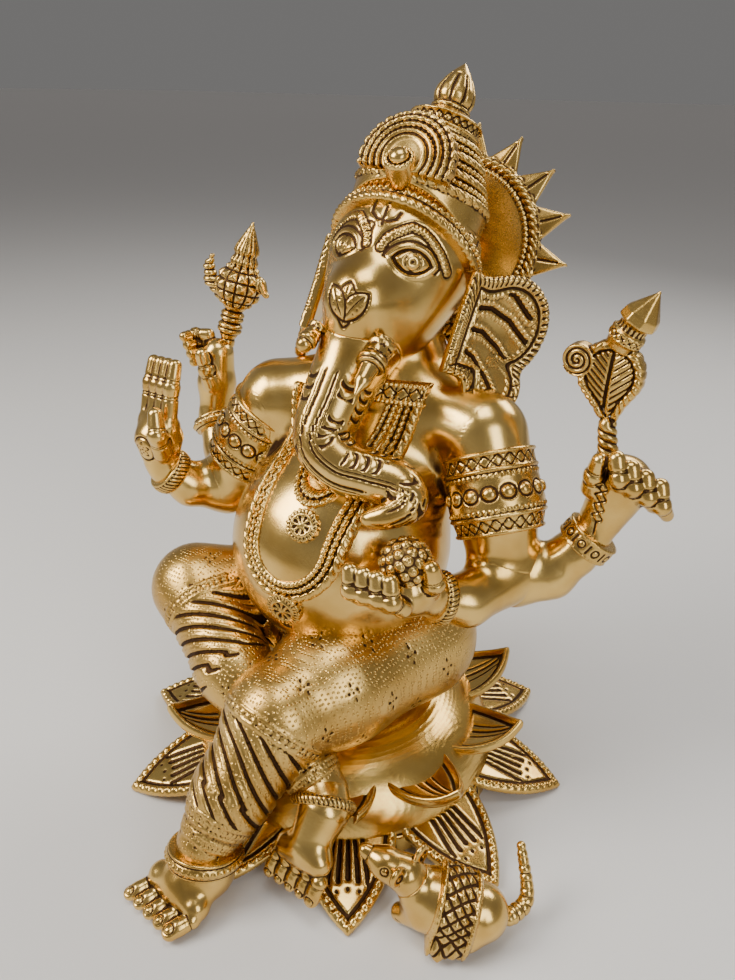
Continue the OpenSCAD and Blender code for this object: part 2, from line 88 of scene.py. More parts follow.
def turn(axis, degrees):
    """Rotation matrix about one of the axes x, y or z."""
    c, s = math.cos(math.radians(degrees)), math.sin(math.radians(degrees))
    rows = {"x": [[1, 0, 0], [0, c, -s], [0, s, c]],
            "y": [[c, 0, s], [0, 1, 0], [-s, 0, c]],
            "z": [[c, -s, 0], [s, c, 0], [0, 0, 1]]}
    return np.array(rows[axis])


def frame_along(axis, hint=(0, 0, 1)):
    """Matrix whose rows are two cross directions and then the axis itself; the first leans to the hint."""
    w = unit(axis)
    u = unit(np.asarray(hint, float) - np.dot(hint, w) * w)
    return np.array([u, np.cross(w, u), w])


def length(v):
    return np.sqrt((v * v).sum(-1))


def blend(a, b, k):
    """Smooth union over a distance k."""
    h = np.clip(0.5 + 0.5 * (b - a) / k, 0, 1)
    return b + (a - b) * h - k * h * (1 - h)


def cut(a, b, k=0.01):
    """What is in a and in b, with the edge between them rounded by k."""
    return -blend(-a, -b, k)


def ball(p, centre, r):
    return length(p - np.asarray(centre)) - r


def egg(p, centre, radii, rot=None):
    """Ellipsoid, with its axes turned by the matrix rot."""
    q = p - np.asarray(centre)
    if rot is not None:
        q = q @ rot
    a = length(q / radii)
    return a * (a - 1) / np.maximum(length(q / np.square(radii)), 1e-6)


def limb(p, line, k=4.0):
    """Chain of balls joined by cones, melted together over a distance k."""
    d = None
    for a, b in zip(line[:-1], line[1:]):
        ab = b[:3] - a[:3]
        t = np.clip((p - a[:3]) @ ab / max(ab @ ab, 1e-9), 0, 1)
        piece = length(p - a[:3] - t[:, None] * ab) - (a[3] + (b[3] - a[3]) * t)
        d = piece if d is None else blend(d, piece, k)
    return d


def smooth_line(line, steps=6):
    """Catmull-Rom curve through the balls of a chain, radius and all."""
    pts = np.asarray(line, float)
    pad = np.vstack([2 * pts[0] - pts[1], pts, 2 * pts[-1] - pts[-2]])
    out = []
    for i in range(1, len(pad) - 2):
        a, b, c, d = pad[i - 1:i + 3]
        for t in np.arange(steps) / steps:
            out.append(0.5 * (2 * b + (c - a) * t + (2 * a - 5 * b + 4 * c - d) * t ** 2
                              + (3 * b - a - 3 * c + d) * t ** 3))
    out.append(pts[-1])
    return np.array(out)


def along(p, line):
    """Where a point is on a curve: length from its start, radius there, offset from it, its direction."""
    best = np.full(len(p), 1e9)
    s_at = np.zeros(len(p))
    r_at = np.zeros(len(p))
    off = np.zeros((len(p), 3))
    way = np.zeros((len(p), 3))
    run = 0.0
    for a, b in zip(line[:-1], line[1:]):
        ab = b[:3] - a[:3]
        size = np.linalg.norm(ab)
        if size < 1e-6:
            continue
        t = np.clip((p - a[:3]) @ ab / size ** 2, 0, 1)
        v = p - a[:3] - t[:, None] * ab
        d = length(v)
        near = d < best
        best[near] = d[near]
        s_at[near] = run + t[near] * size
        if len(a) > 3:
            r_at[near] = a[3] + (b[3] - a[3]) * t[near]
        off[near] = v[near]
        way[near] = ab / size
        run += size
    return s_at, r_at, off, way


# ---------------------------------------------------------------- ornament on surfaces
# Each returns a height in mm over a flat sheet with coordinates u along and v across:
# more than nothing stands proud, less is engraved.

def wave(x, pitch):
    """Distance to the nearest line of a set that repeats every pitch."""
    return np.abs((x / pitch + 0.5) % 1.0 - 0.5) * pitch


def score(distance, width, depth):
    """Engraved line: a rounded groove where distance is nought."""
    return -depth * np.exp(-np.square(distance / (0.5 * width)))


def ridge(distance, width, high):
    return high * np.sqrt(np.clip(1 - np.square(distance / (0.5 * width)), 0, 1))


def beads(u, v, pitch, size, high):
    """Row of half beads along v = 0."""
    return high * np.sqrt(np.clip(1 - (np.square(wave(u, pitch)) + v * v) / (0.5 * size) ** 2, 0, 1))


def rope(u, v, pitch, wide, high, slope=0.8):
    """Twisted cord: a round ridge cut by slanting grooves."""
    body = ridge(v, wide, high)
    return body + (np.abs(v) < wide / 2) * score(wave(u + slope * v, pitch), 0.36 * pitch, 0.55 * high)


def crescents(u, v, pitch, wide, depth=0.7):
    """Row of nested arcs like fish scales, open towards -u."""
    cell = (u / pitch % 1.0) * pitch
    inside = np.clip((wide / 2 - np.abs(v)) / 0.6, 0, 1)
    arc = np.sqrt(np.square(cell) + np.square(1.2 * pitch * v / wide)) - 0.72 * pitch
    return inside * score(arc, 0.34 * pitch, depth)


def hatch(u, pitch, depth=0.5):
    return score(wave(u, pitch), 0.5 * pitch, depth)


def lattice(u, v, pitch, depth=0.6, dot=0.0):
    """Crossed slanting lines, with a raised dot in each lozenge."""
    a, b = (u + v) / math.sqrt(2), (u - v) / math.sqrt(2)
    h = np.minimum(score(wave(a, pitch), 0.3 * pitch, depth), score(wave(b, pitch), 0.3 * pitch, depth))
    if dot:
        a2, b2 = wave(a + pitch / 2, pitch), wave(b + pitch / 2, pitch)
        h = h + dot * np.exp(-(a2 * a2 + b2 * b2) / (0.2 * pitch) ** 2)
    return h


def cross_row(u, v, pitch, wide, depth=0.7):
    """Row of X marks in a band, framed by its two edges."""
    cell = wave(u, pitch)
    stroke = np.abs(cell - np.abs(v) * pitch / wide)
    inside = np.abs(v) < wide / 2
    return inside * score(stroke, 0.9, depth)


def segment_score(u, v, a, b, width, depth):
    """Engraved straight stroke from a to b."""
    a, b = np.asarray(a, float), np.asarray(b, float)
    ab = b - a
    t = np.clip(((u - a[0]) * ab[0] + (v - a[1]) * ab[1]) / max(ab @ ab, 1e-9), 0, 1)
    return score(np.hypot(u - a[0] - t * ab[0], v - a[1] - t * ab[1]), width, depth)


def fold(*heights):
    """Deepest engraving of several."""
    out = heights[0]
    for h in heights[1:]:
        out = np.minimum(out, h)
    return out


# ---------------------------------------------------------------- from a field to a mesh

def surface(field, low, high, h):
    """Mesh of the place where field(points) -> (plain distance, ornament height) is nought."""
    low = np.asarray(low, float) - BAND * h
    size = np.ceil((np.asarray(high, float) + BAND * h - low) / h).astype(int) + 1
    step = 6
    blocks = np.ceil(size / step).astype(int)
    size = blocks * step
    where = np.stack(np.meshgrid(*[np.arange(n) for n in blocks], indexing="ij"), -1).reshape(-1, 3)
    mid = low + (where * step + step / 2) * h
    rough = np.concatenate([field(c)[0] for c in np.array_split(mid, max(1, len(mid) // 200000))])
    near = np.abs(rough) < step * h * 0.87 + 3.2
    grid = np.repeat(np.repeat(np.repeat(
        (np.sign(rough) * BAND * h).reshape(blocks).astype(np.float32), step, 0), step, 1), step, 2)
    cell = np.stack(np.meshgrid(*[np.arange(step)] * 3, indexing="ij"), -1).reshape(-1, 3)
    for group in np.array_split(where[near], max(1, near.sum() // 2000)):
        idx = (group[:, None, :] * step + cell[None]).reshape(-1, 3)
        base, ornament = field(low + idx * h)
        grid[idx[:, 0], idx[:, 1], idx[:, 2]] = np.clip(base - ornament, -BAND * h, BAND * h)
    vdb = openvdb.FloatGrid(BAND * h)
    vdb.copyFromArray(grid)
    points, quads = vdb.convertToQuads(0.0)
    return points * h + low, quads


def hollows(points, quads, rounds):
    """How far each point lies below the mean of its neighbours, smoothed over some rounds."""
    edges = np.concatenate([quads[:, [0, 1]], quads[:, [1, 2]], quads[:, [2, 3]], quads[:, [3, 0]]])
    edges = np.concatenate([edges, edges[:, ::-1]])
    n = len(points)
    count = np.maximum(np.bincount(edges[:, 0], minlength=n), 1)[:, None]

    def mean(values):
        cols = [np.bincount(edges[:, 0], values[edges[:, 1], i], minlength=n)
                for i in range(values.shape[1])]
        return np.stack(cols, 1) / count

    faces = np.cross(points[quads[:, 2]] - points[quads[:, 0]], points[quads[:, 3]] - points[quads[:, 1]])
    normal = np.stack([sum(np.bincount(quads[:, k], faces[:, i], minlength=n) for k in range(4))
                       for i in range(3)], 1)
    normal /= np.maximum(length(normal), 1e-9)[:, None]
    soft = points
    for _ in range(rounds):
        soft = mean(soft)
    return ((soft - points) * normal).sum(1)


def polish(mesh):
    for face in mesh.polygons:
        face.use_smooth = True


def piece(name, field, nodes, slot, h=FINE, low=None, high=None, grow=3.0):
    """Sculpts one visible piece in the room of its CAD nodes, and stores its hollows for the patina."""
    boxes = [corners(n) for n in nodes]
    low = np.min([b[0] for b in boxes], 0) - grow if low is None else np.asarray(low, float)
    high = np.max([b[1] for b in boxes], 0) + grow if high is None else np.asarray(high, float)
    points, quads = surface(field, low, high, h)
    base, ornament = field(points)
    scale = h / FINE
    pits = np.clip(-ornament / 0.55, 0, 1) + np.clip(hollows(points, quads, 5) / (0.22 * scale), -0.7, 1)
    crevice = np.clip(hollows(points, quads, 24) / (1.3 * scale), -0.6, 1)
    mesh = bpy.data.meshes.new(name)
    mesh.vertices.add(len(points))
    mesh.vertices.foreach_set("co", (points * MM).astype(np.float32).ravel())
    mesh.loops.add(quads.size)
    mesh.loops.foreach_set("vertex_index", quads.astype(np.int32).ravel())
    mesh.polygons.add(len(quads))
    mesh.polygons.foreach_set("loop_start", np.arange(0, quads.size, 4, dtype=np.int32))
    mesh.update(calc_edges=True)
    for label, values in (("pits", pits), ("crevice", crevice)):
        layer = mesh.attributes.new(label, "FLOAT", "POINT")
        layer.data.foreach_set("value", values.astype(np.float32))
    polish(mesh)
    obj = bpy.data.objects.new(name, mesh)
    bpy.context.scene.collection.objects.link(obj)
    obj.data.materials.append(MATERIALS[slot])
    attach(obj, "root")
    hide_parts(*nodes)
    return obj


# ---------------------------------------------------------------- materials

CLOUDS, CLOUD_DETAIL = 38.0, 5.0       # tone changes per metre, octaves
GRAINS, GRAIN_DETAIL = 900.0, 3.0      # casting grain per metre, octaves
PIT_DIRT, CREVICE_DIRT, CLOUD_DIRT, STIPPLE_DIRT = 0.75, 0.7, 0.5, 0.42
CLEAN, FILTHY = 0.17, 0.70             # where the patina starts and where it is full
PIT_FLOOR, PIT_EDGE = 0.12, 0.42       # of the distance between two stippled pits
GRAIN_DEPTH, PIT_DEPTH = 0.0006, 0.0005


def brass(name, bright, deep, patina, gloss, stipple=0.0, stipple_size=1.0):
    """Cast brass: polished on high places, brown patina in the hollows, faint casting grain."""
    mat = bpy.data.materials.new(name)
    mat.use_nodes = True
    nodes, links = mat.node_tree.nodes, mat.node_tree.links
    shader = nodes["Principled BSDF"]
    shader.inputs["Metallic"].default_value = 1.0

    def add(kind, **values):
        node = nodes.new(kind)
        for key, value in values.items():
            setattr(node, key, value)
        return node

    def attribute(label):
        return add("ShaderNodeAttribute", attribute_name=label).outputs["Fac"]

    def maths(operation, a, b):
        node = add("ShaderNodeMath", operation=operation)
        for socket, value in zip(node.inputs, (a, b)):
            if isinstance(value, float):
                socket.default_value = value
            else:
                links.new(value, socket)
        return node.outputs[0]

    def ramp(source, stops):
        node = add("ShaderNodeValToRGB")
        while len(node.color_ramp.elements) < len(stops):
            node.color_ramp.elements.new(0.5)
        for element, (place, color) in zip(node.color_ramp.elements, stops):
            element.position = place
            element.color = (*color, 1.0)
        links.new(source, node.inputs["Fac"])
        return node.outputs["Color"]

    def mix(fac, a, b):
        node = add("ShaderNodeMix", data_type="RGBA")
        links.new(fac, node.inputs["Factor"])
        links.new(a, node.inputs[6])
        links.new(b, node.inputs[7])
        return node.outputs[2]

    place = add("ShaderNodeTexCoord").outputs["Object"]

    def noise(scale, detail=4.0):
        node = add("ShaderNodeTexNoise")
        node.inputs["Scale"].default_value = scale
        node.inputs["Detail"].default_value = detail
        links.new(place, node.inputs["Vector"])
        return node.outputs["Fac"]

    cloudy = noise(CLOUDS, CLOUD_DETAIL)
    grain = noise(GRAINS, GRAIN_DETAIL)
    metal = ramp(cloudy, [(0.30, deep), (0.62, bright)])
    dark = ramp(grain, [(0.3, patina), (0.75, tuple(min(1, 1.9 * c) for c in patina))])
    dirt = maths("ADD", maths("MULTIPLY", attribute("pits"), PIT_DIRT),
                 maths("MULTIPLY", attribute("crevice"), CREVICE_DIRT))
    dirt = maths("ADD", dirt, maths("MULTIPLY", maths("SUBTRACT", cloudy, 0.5), CLOUD_DIRT))
    if stipple:
        dots = add("ShaderNodeTexVoronoi", feature="F1")
        dots.inputs["Scale"].default_value = 1 / (stipple_size * MM)
        dots.inputs["Randomness"].default_value = 0.35
        links.new(place, dots.inputs["Vector"])
        pit = add("ShaderNodeMapRange", interpolation_type="SMOOTHSTEP")
        pit.inputs["From Min"].default_value = PIT_FLOOR
        pit.inputs["From Max"].default_value = PIT_EDGE
        links.new(dots.outputs["Distance"], pit.inputs["Value"])
        deep_pit = maths("SUBTRACT", 1.0, pit.outputs[0])
        dirt = maths("ADD", dirt, maths("MULTIPLY", deep_pit, STIPPLE_DIRT))
    mask = add("ShaderNodeMapRange", interpolation_type="SMOOTHSTEP")
    mask.inputs["From Min"].default_value = CLEAN
    mask.inputs["From Max"].default_value = FILTHY
    links.new(dirt, mask.inputs["Value"])
    links.new(mix(mask.outputs[0], metal, dark), shader.inputs["Base Color"])
    rough = maths("ADD", maths("MULTIPLY", mask.outputs[0], 0.3),
                  maths("ADD", maths("MULTIPLY", grain, 0.12), gloss))
    links.new(rough, shader.inputs["Roughness"])
    height = maths("ADD", maths("MULTIPLY", grain, 0.25), maths("MULTIPLY", cloudy, 0.5))
    bump = add("ShaderNodeBump")
    bump.inputs["Strength"].default_value = 0.18
    bump.inputs["Distance"].default_value = GRAIN_DEPTH
    links.new(height, bump.inputs["Height"])
    normal = bump.outputs["Normal"]
    if stipple:
        punched = add("ShaderNodeBump")
        punched.inputs["Strength"].default_value = stipple
        punched.inputs["Distance"].default_value = PIT_DEPTH
        links.new(pit.outputs[0], punched.inputs["Height"])
        links.new(normal, punched.inputs["Normal"])
        normal = punched.outputs["Normal"]
    links.new(normal, shader.inputs["Normal"])
    return mat


BRIGHT = (0.81, 0.54, 0.165)
WARM = (0.61, 0.36, 0.085)
PATINA = (0.045, 0.022, 0.010)
MATERIALS = {
    "polished_brass": brass("polished_brass", BRIGHT, WARM, PATINA, 0.16),
    "ornament_brass": brass("ornament_brass", (0.76, 0.50, 0.145), (0.55, 0.32, 0.075), PATINA, 0.20),
    "dhoti_brass": brass("dhoti_brass", (0.72, 0.465, 0.135), (0.52, 0.305, 0.075), PATINA, 0.24, 0.6, 1.9),
    "lotus_brass": brass("lotus_brass", (0.80, 0.535, 0.155), (0.60, 0.35, 0.085), PATINA, 0.18),
    "base_brass": brass("base_brass", (0.40, 0.27, 0.10), (0.28, 0.18, 0.07), PATINA, 0.45),
}

# ---------------------------------------------------------------- the skeleton

def spot(node, x, y, z):
    """A point given as an offset in mm from the middle of a node."""
    return middle(node) + (x, y, z)


BELLY = chain("torso", (-6, -5.5, -27, 60))[0]
CHEST = chain("torso", (1, 21.5, 18, 44))[0]
COLLAR = chain("torso", (2, 31.5, 48, 30))[0]
NECK = chain("torso", (2, 35.5, 72, 25))[0]
SHOULDER_L = chain("torso", (56, 26.5, 40, 21))[0]
SHOULDER_R = chain("torso", (-56, 9.5, 40, 21))[0]
HIPS = chain("hips", (-2.5, 0, 4.9, 50))[0]
LEG_L = chain("left_leg", (7.5, 57.4, 18, 37), (-7.5, 3.4, 14, 34), (-17.5, -30.6, 10, 27),
              (-23.5, -62.6, -18, 19.5), (-27.5, -80.6, -38, 14))
LEG_R = chain("right_leg", (-4.8, 34, 7.8, 34), (-54.8, -12, 21.8, 24), (-6.8, -36, -0.2, 20),
              (49.2, -50, -24.2, 15), (67.2, -54, -34.2, 12))
ARM_L = chain("left_upper_arm", (-12.5, 5.5, 29.7, 21), (1.5, -4.5, 0.7, 21.5), (9.5, -6.5, -33.3, 17))
ARM_R = chain("right_upper_arm", (15.7, 5.3, 27, 20.5), (1.7, 0.3, 2, 20.5), (-12.3, -6.7, -27, 17))
FORE_FL = chain("front_left_forearm", (6.5, 21.2, 1.2, 15.5), (-1.5, -4.8, -1.8, 13),
                (-11.5, -18.8, 4.2, 10.5))
FORE_BL = chain("rear_left_forearm", (-13.6, -6.3, -10.5, 16), (1.4, 0.7, -5.5, 14),
                (11.4, 5.7, 6.5, 11.5), (17.4, 8.7, 16.5, 10))
FORE_FR = chain("front_right_forearm", (8.9, 15, -5.8, 15.5), (-0.1, -3, -0.8, 12.5), (-7.1, -14, 11.2, 10))
FORE_BR = chain("rear_right_forearm", (14.3, -10.4, -10.1, 15), (-3.7, 1.6, -1.1, 11.5),
                (-15.7, 7.6, 14.9, 9.5))
TRUNK = chain("trunk", (-18.5, 16.5, 29.5, 18), (-20.5, -0.5, 9.5, 16.2), (-20.5, -14.5, -10.5, 14),
              (-7.5, -17.5, -20.5, 12.8), (7.5, -13.5, -24, 11.8), (20.5, -10.5, -26.5, 10.8),
              (28.5, -15.5, -31.5, 8.5), (23.5, -24.5, -35.5, 5.6), (15.5, -29.5, -37.5, 3.4))
TRUNK_WAY = smooth_line(TRUNK)

HEAD_AT = spot("head", 0, 10.2, 6.1)
HEAD_TURN = turn("z", 8) @ turn("x", -24) @ turn("y", 8)
HEAD_R = 37.0


def in_head(p):
    """Coordinates in the head's own frame: x to its left, -y forward, z to the crown."""
    return (p - HEAD_AT) @ HEAD_TURN


def from_head(x, y, z):
    return HEAD_AT + HEAD_TURN @ np.array([x, y, z], float)


def dot(p, b):
    return length(p - b[:3]) - b[3]


def melt(k, *fields):
    out = fields[0]
    for f in fields[1:]:
        out = blend(out, f, k)
    return out


def share(own, others, under=False):
    """This casting's share of a body in which it melts into its neighbours (distance, blend) pairs."""
    d = own
    rest = others[0][0]
    for other, k in others:
        d = blend(d, other, k)
        rest = np.minimum(rest, other)
    side = (own - rest) / 2
    if under:
        return np.maximum(d + 0.35 * np.clip(side, 0, 1), side - 2)
    return np.maximum(d, side)


def torso_shape(p):
    return melt(14, melt(18, dot(p, BELLY), limb(p, np.array([CHEST, COLLAR, NECK]))),
                limb(p, np.array([SHOULDER_R, COLLAR, SHOULDER_L])))


def leg_l(p):
    return limb(p, LEG_L, 8)


def leg_r(p):
    return limb(p, LEG_R, 8)


def around(p, line, front):
    """Length along a curve, radius there, distance from it, and angle about it from the front."""
    s, r, off, way = along(p, line)
    f = front - (way @ front)[:, None] * way
    f /= np.maximum(length(f), 1e-6)[:, None]
    side = np.cross(way, f)
    return s, r, length(off), np.arctan2((off * side).sum(-1), (off * f).sum(-1))


def trace(p, points):
    """Length along a polyline and distance from it."""
    s, _, off, _ = along(p, np.array(points, float))
    return s, length(off)


def line_cut(p, points, width=1.2, depth=0.8):
    return score(trace(p, points)[1], width, depth)


def flowers(u, v, pitch, depth=0.42):
    """Stamped flowers of four petals, in rows set half a step apart."""
    row = np.floor(v / pitch + 0.5)
    x = ((u / pitch + 0.5 * (row % 2) + 0.5) % 1.0 - 0.5) * pitch
    y = v - row * pitch
    out = score(np.hypot(x, y), 1.1, depth)
    for dx, dy in ((1, 0), (-1, 0), (0, 1), (0, -1)):
        a = (x * dx + y * dy) - 2.4
        b = x * dy - y * dx
        out = np.minimum(out, score(np.hypot(a * 0.6, b), 1.3, depth))
    return out


# ---------------------------------------------------------------- lotus seat

SEAT_R, SEAT_H = (corners("seat_cushion")[1][0], corners("seat_cushion")[1][2])
CURVE = np.radians(np.arange(0, 91, 3))
SEAT_EDGE = np.stack([SEAT_R * np.cos(CURVE) ** 0.6, SEAT_H * np.sin(CURVE) ** 0.95], 1)
PETALS = 10
STEP_ANGLE = 2 * math.pi / PETALS


def seat_shape(p):
    r = np.hypot(p[:, 0], p[:, 1])
    side = r - np.interp(p[:, 2], SEAT_EDGE[:, 1], SEAT_EDGE[:, 0])
    top = p[:, 2] - np.interp(r, SEAT_EDGE[::-1, 0], SEAT_EDGE[::-1, 1])
    return 0.72 * np.maximum(np.minimum(side, top), np.maximum(side, top) * 0.55)


def seat_field(p):
    d = np.maximum(seat_shape(p), -p[:, 2] + 2.6)
    angle = np.arctan2(p[:, 1], p[:, 0])
    r = np.hypot(p[:, 0], p[:, 1])
    rings = score(p[:, 2] - 14, 1.6, 0.6) + score(wave(angle * r, 9.0), 1.4, 0.4) * (p[:, 2] < 13)
    return d, rings


piece("seat_cushion_shell", seat_field, ["seat_cushion"], "lotus_brass", WIDE)


def petal_frame(p, phase, tip_r, tip_z, slope):
    """Coordinates in the nearest petal: x out to the tip, y across, z its thickness."""
    angle = np.arctan2(p[:, 1], p[:, 0]) - math.radians(phase)
    angle = (angle / STEP_ANGLE + 0.5) % 1.0 * STEP_ANGLE - STEP_ANGLE / 2
    r = np.hypot(p[:, 0], p[:, 1])
    q = np.stack([r * np.cos(angle) - tip_r, r * np.sin(angle), p[:, 2] - tip_z], 1)
    return q @ turn("y", slope)


def leaf(q, long, wide, point=50):
    """Distance to a pointed leaf outline with its tip at nought, and the length along its edge."""
    r = wide / 2 / (1 - math.cos(math.radians(point)))
    x = q[:, 0] + r * math.sin(math.radians(point))
    y = np.abs(q[:, 1]) + r * math.cos(math.radians(point))
    return np.maximum(np.hypot(x, y) - r, -long - q[:, 0]), r * np.arctan2(y, x)


UPPER_TIP_R, UPPER_TIP_Z, UPPER_LONG, UPPER_WIDE = 111.0, 42.0, 48.0, 42.0
LOWER_TIP_R, LOWER_LONG, LOWER_WIDE = 133.0, 62.0, 54.0


def upper_petals_field(p):
    q = petal_frame(p, 12, UPPER_TIP_R, UPPER_TIP_Z, -22)
    edge, _ = leaf(q, UPPER_LONG, UPPER_WIDE)
    curl = 50 - np.sqrt(np.maximum(2500 - np.square(q[:, 0] + UPPER_LONG / 2), 100))
    lift = curl + 2 + 0.010 * np.square(q[:, 1]) + 1.5 * np.exp(-np.square(q[:, 0] / 7))
    thick = 1.7 + 1.5 * np.exp(-np.square((edge + 1.6) / 1.9))
    d = cut(edge, (np.abs(q[:, 2] - lift) - thick) * 0.88, 2.2)
    d = np.maximum(d, 1.0 - leg_r(p))
    d = np.maximum(d, 1.0 - leg_l(p))
    d = np.maximum(d, 0.6 - dot(p, ANKLE_R_ROOM))
    ribs = fold(score(q[:, 1], 1.8, 0.7), score(np.abs(q[:, 1]) - 0.2 * (8 - q[:, 0] * 0.5), 1.3, 0.45))
    groove = score(edge + 5.2, 1.6, 0.8)
    return d, fold(ribs * (edge < -6), groove) * (q[:, 0] < -1)


ANKLE_R_ROOM = chain("right_anklet", (1.4, -1.9, -0.7, 17))[0]


def lower_petals_field(p):
    q = petal_frame(p, 16, LOWER_TIP_R, 0.0, 15)
    edge, u = leaf(q, LOWER_LONG, LOWER_WIDE)
    d = cut(edge, np.abs(q[:, 2] - 1.6) - 1.9, 1.0)
    d = np.maximum(d, 0.3 - p[:, 2])
    d = np.maximum(d, 0.8 - leg_l(p))
    top = q[:, 2] > 0.6
    x, y = q[:, 0], q[:, 1]
    h = beads(u, edge + 3.0, 4.6, 3.9, 1.3)
    h = h + score(edge + 6.2, 1.8, 1.1) + score(edge + 0.4, 1.2, 0.3)
    fan = np.zeros(len(p))
    for k in range(-2, 3):
        fan = np.minimum(fan, segment_score(x, y, (-58, 3.0 * k), (-27 + 1.2 * abs(k), 5.2 * k), 2.8, 1.5))
        fan = np.minimum(fan, score(np.hypot(x + 21.5 - 1.3 * abs(k), y - 5.9 * k), 1.9, 0.9))
    inner = edge < -7.5
    return d, top * (h * (x > -60) + inner * fan)


piece("lower_petal_ring", lower_petals_field, ["lower_petals"], "lotus_brass", LEAF)
piece("upper_petal_ring", upper_petals_field, ["upper_petals"], "lotus_brass", PETAL)

# ---------------------------------------------------------------- body and dhoti

PLEAT = 8.4


def hips_field(p):
    d = dot(p, HIPS)
    d = melt(16, d, dot(p, LEG_L[0] - (0, 0, 0, 1)), dot(p, LEG_R[0] - (0, 0, 0, 1)))
    angle = np.arctan2(p[:, 1] - HIPS[1], p[:, 0] - HIPS[0])
    u = angle * HIPS[3]
    v = p[:, 2] - HIPS[2]
    h = flowers(u, v, 17) + rope(u, v - 26, 4.5, 4.6, 1.1)
    return np.maximum(d, -1 - seat_shape(p)), h


def leg_dress(p, line, bands, hem):
    """Cloth on a leg: stamped flowers, slanting folds, and beaded bands at lengths along it."""
    s, _, _, phi = around(p, line, np.array([0.3, -0.6, 0.74]))
    u = phi * 20
    h = flowers(u, s - 8, 19)
    plain = np.zeros(len(p))
    for at, wide in bands:
        v = s - at
        plain = np.maximum(plain, np.abs(v) < wide / 2 + 1)
        h = np.where(np.abs(v) < wide / 2 + 1, 0, h)
        h = h + ridge(np.abs(v) - wide / 2, 1.6, 0.8) + beads(u, v, 3.1, 2.6, 0.9) * (wide < 6)
        if wide >= 6:
            h = h + beads(u, np.abs(v) - wide / 2 + 2.4, 2.9, 2.3, 0.8) + (np.abs(v) < wide / 2 - 3.4) * (
                hatch(u + np.abs(v), 2.6, 0.5))
    first, last = hem
    folded = np.clip((s - first) / 3, 0, 1) * np.clip((last - s) / 3, 0, 1) * (1 - plain)
    lines = wave(s + 0.55 * u + 2.0 * np.sin(u / 9), PLEAT)
    pleats = score(lines, 2.3, 1.5) + 0.5 * np.exp(-np.square((lines - 2.4) / 1.1))
    return h * (1 - folded) + folded * pleats


def leg_field(leg, line, bands, hem):
    def field(p):
        return share(leg(p), [(hips_field(p)[0], 10)]), leg_dress(p, line, bands, hem)
    return field


left_leg_field = leg_field(leg_l, LEG_L, [(98, 5), (149, 6), (158, 4)], (102, 145))
right_leg_field = leg_field(leg_r, LEG_R, [(86, 5), (186, 6), (202, 5)], (90, 132))


def torso_field(p):
    own = torso_shape(p)
    d = share(own, [(limb(p, ARM_L), 10), (limb(p, ARM_R), 10)], under=True)
    q = p - BELLY[:3]
    navel = score(np.hypot(q[:, 0] - 2, q[:, 2] + 24), 5.0, 1.6) * (q[:, 1] < 0)
    waist = rope(np.arctan2(q[:, 1], q[:, 0]) * 58, q[:, 2] + 42, 4.2, 4.2, 1.2)
    waist = waist + score(q[:, 2] + 38.6, 1.4, 0.8) + score(q[:, 2] + 45.4, 1.4, 0.8)
    return d, navel + waist


def upper_arm_field(line, *lower):
    def field(p):
        own = limb(p, line)
        others = [(torso_shape(p), 10)] + [(limb(p, f), 8) for f in lower]
        return share(own, others), np.zeros(len(p))
    return field


def forearm_field(line, upper):
    def field(p):
        own = limb(p, line)
        return share(own, [(limb(p, upper), 8)], under=True), np.zeros(len(p))
    return field


piece("hips_dhoti", hips_field, ["hips"], "dhoti_brass", COARSE)
piece("left_leg_dhoti", left_leg_field, ["left_leg"], "dhoti_brass", COARSE)
piece("right_leg_dhoti", right_leg_field, ["right_leg"], "dhoti_brass", COARSE)
piece("torso_body", torso_field, ["torso"], "polished_brass", WIDE)
for node, line, lower in (("left_upper_arm", ARM_L, (FORE_FL, FORE_BL)),
                          ("right_upper_arm", ARM_R, (FORE_FR, FORE_BR))):
    piece(node + "_body", upper_arm_field(line, *lower), [node], "polished_brass", COARSE)
for side, line, upper in (("front_left", FORE_FL, ARM_L), ("rear_left", FORE_BL, ARM_L),
                          ("front_right", FORE_FR, ARM_R), ("rear_right", FORE_BR, ARM_R)):
    piece(side + "_forearm_body", forearm_field(line, upper), [side + "_forearm"], "polished_brass", COARSE)


def armband_field(line):
    a, b = line[0], line[1]
    size = np.linalg.norm(b[:3] - a[:3])
    turned = frame_along(b[:3] - a[:3], (0, -1, 0))

    def field(p):
        q = (p - b[:3]) @ turned.T
        r = np.hypot(q[:, 0], q[:, 1])
        u = np.arctan2(q[:, 1], q[:, 0]) * b[3]
        v = q[:, 2] + 5
        flat = limb(p, line) - 2.0
        d = cut(flat, np.abs(v) - 20.5, 1.0)
        d = np.maximum(d, -3.0 - limb(p, line))
        rows = ridge(np.abs(v) - 19.4, 2.0, 1.2) + ridge(np.abs(v) - 11.4, 2.0, 1.1)
        rows = rows + cross_row(u, np.abs(v) - 15.4, 6.0, 6.0, 0.9)
        rows = rows + beads(u, np.abs(v) - 8.6, 2.7, 2.2, 0.8) + beads(u, v, 8.6, 6.0, 1.6)
        rows = rows + (np.abs(v) < 6.5) * score(np.hypot(wave(u, 8.6), v) - 3.7, 1.1, 0.7)
        return np.maximum(d, 8 - r), rows
    return field


piece("left_armband_ring", armband_field(ARM_L), ["left_armband"], "ornament_brass", grow=12)
piece("right_armband_ring", armband_field(ARM_R), ["right_armband"], "ornament_brass", grow=12)


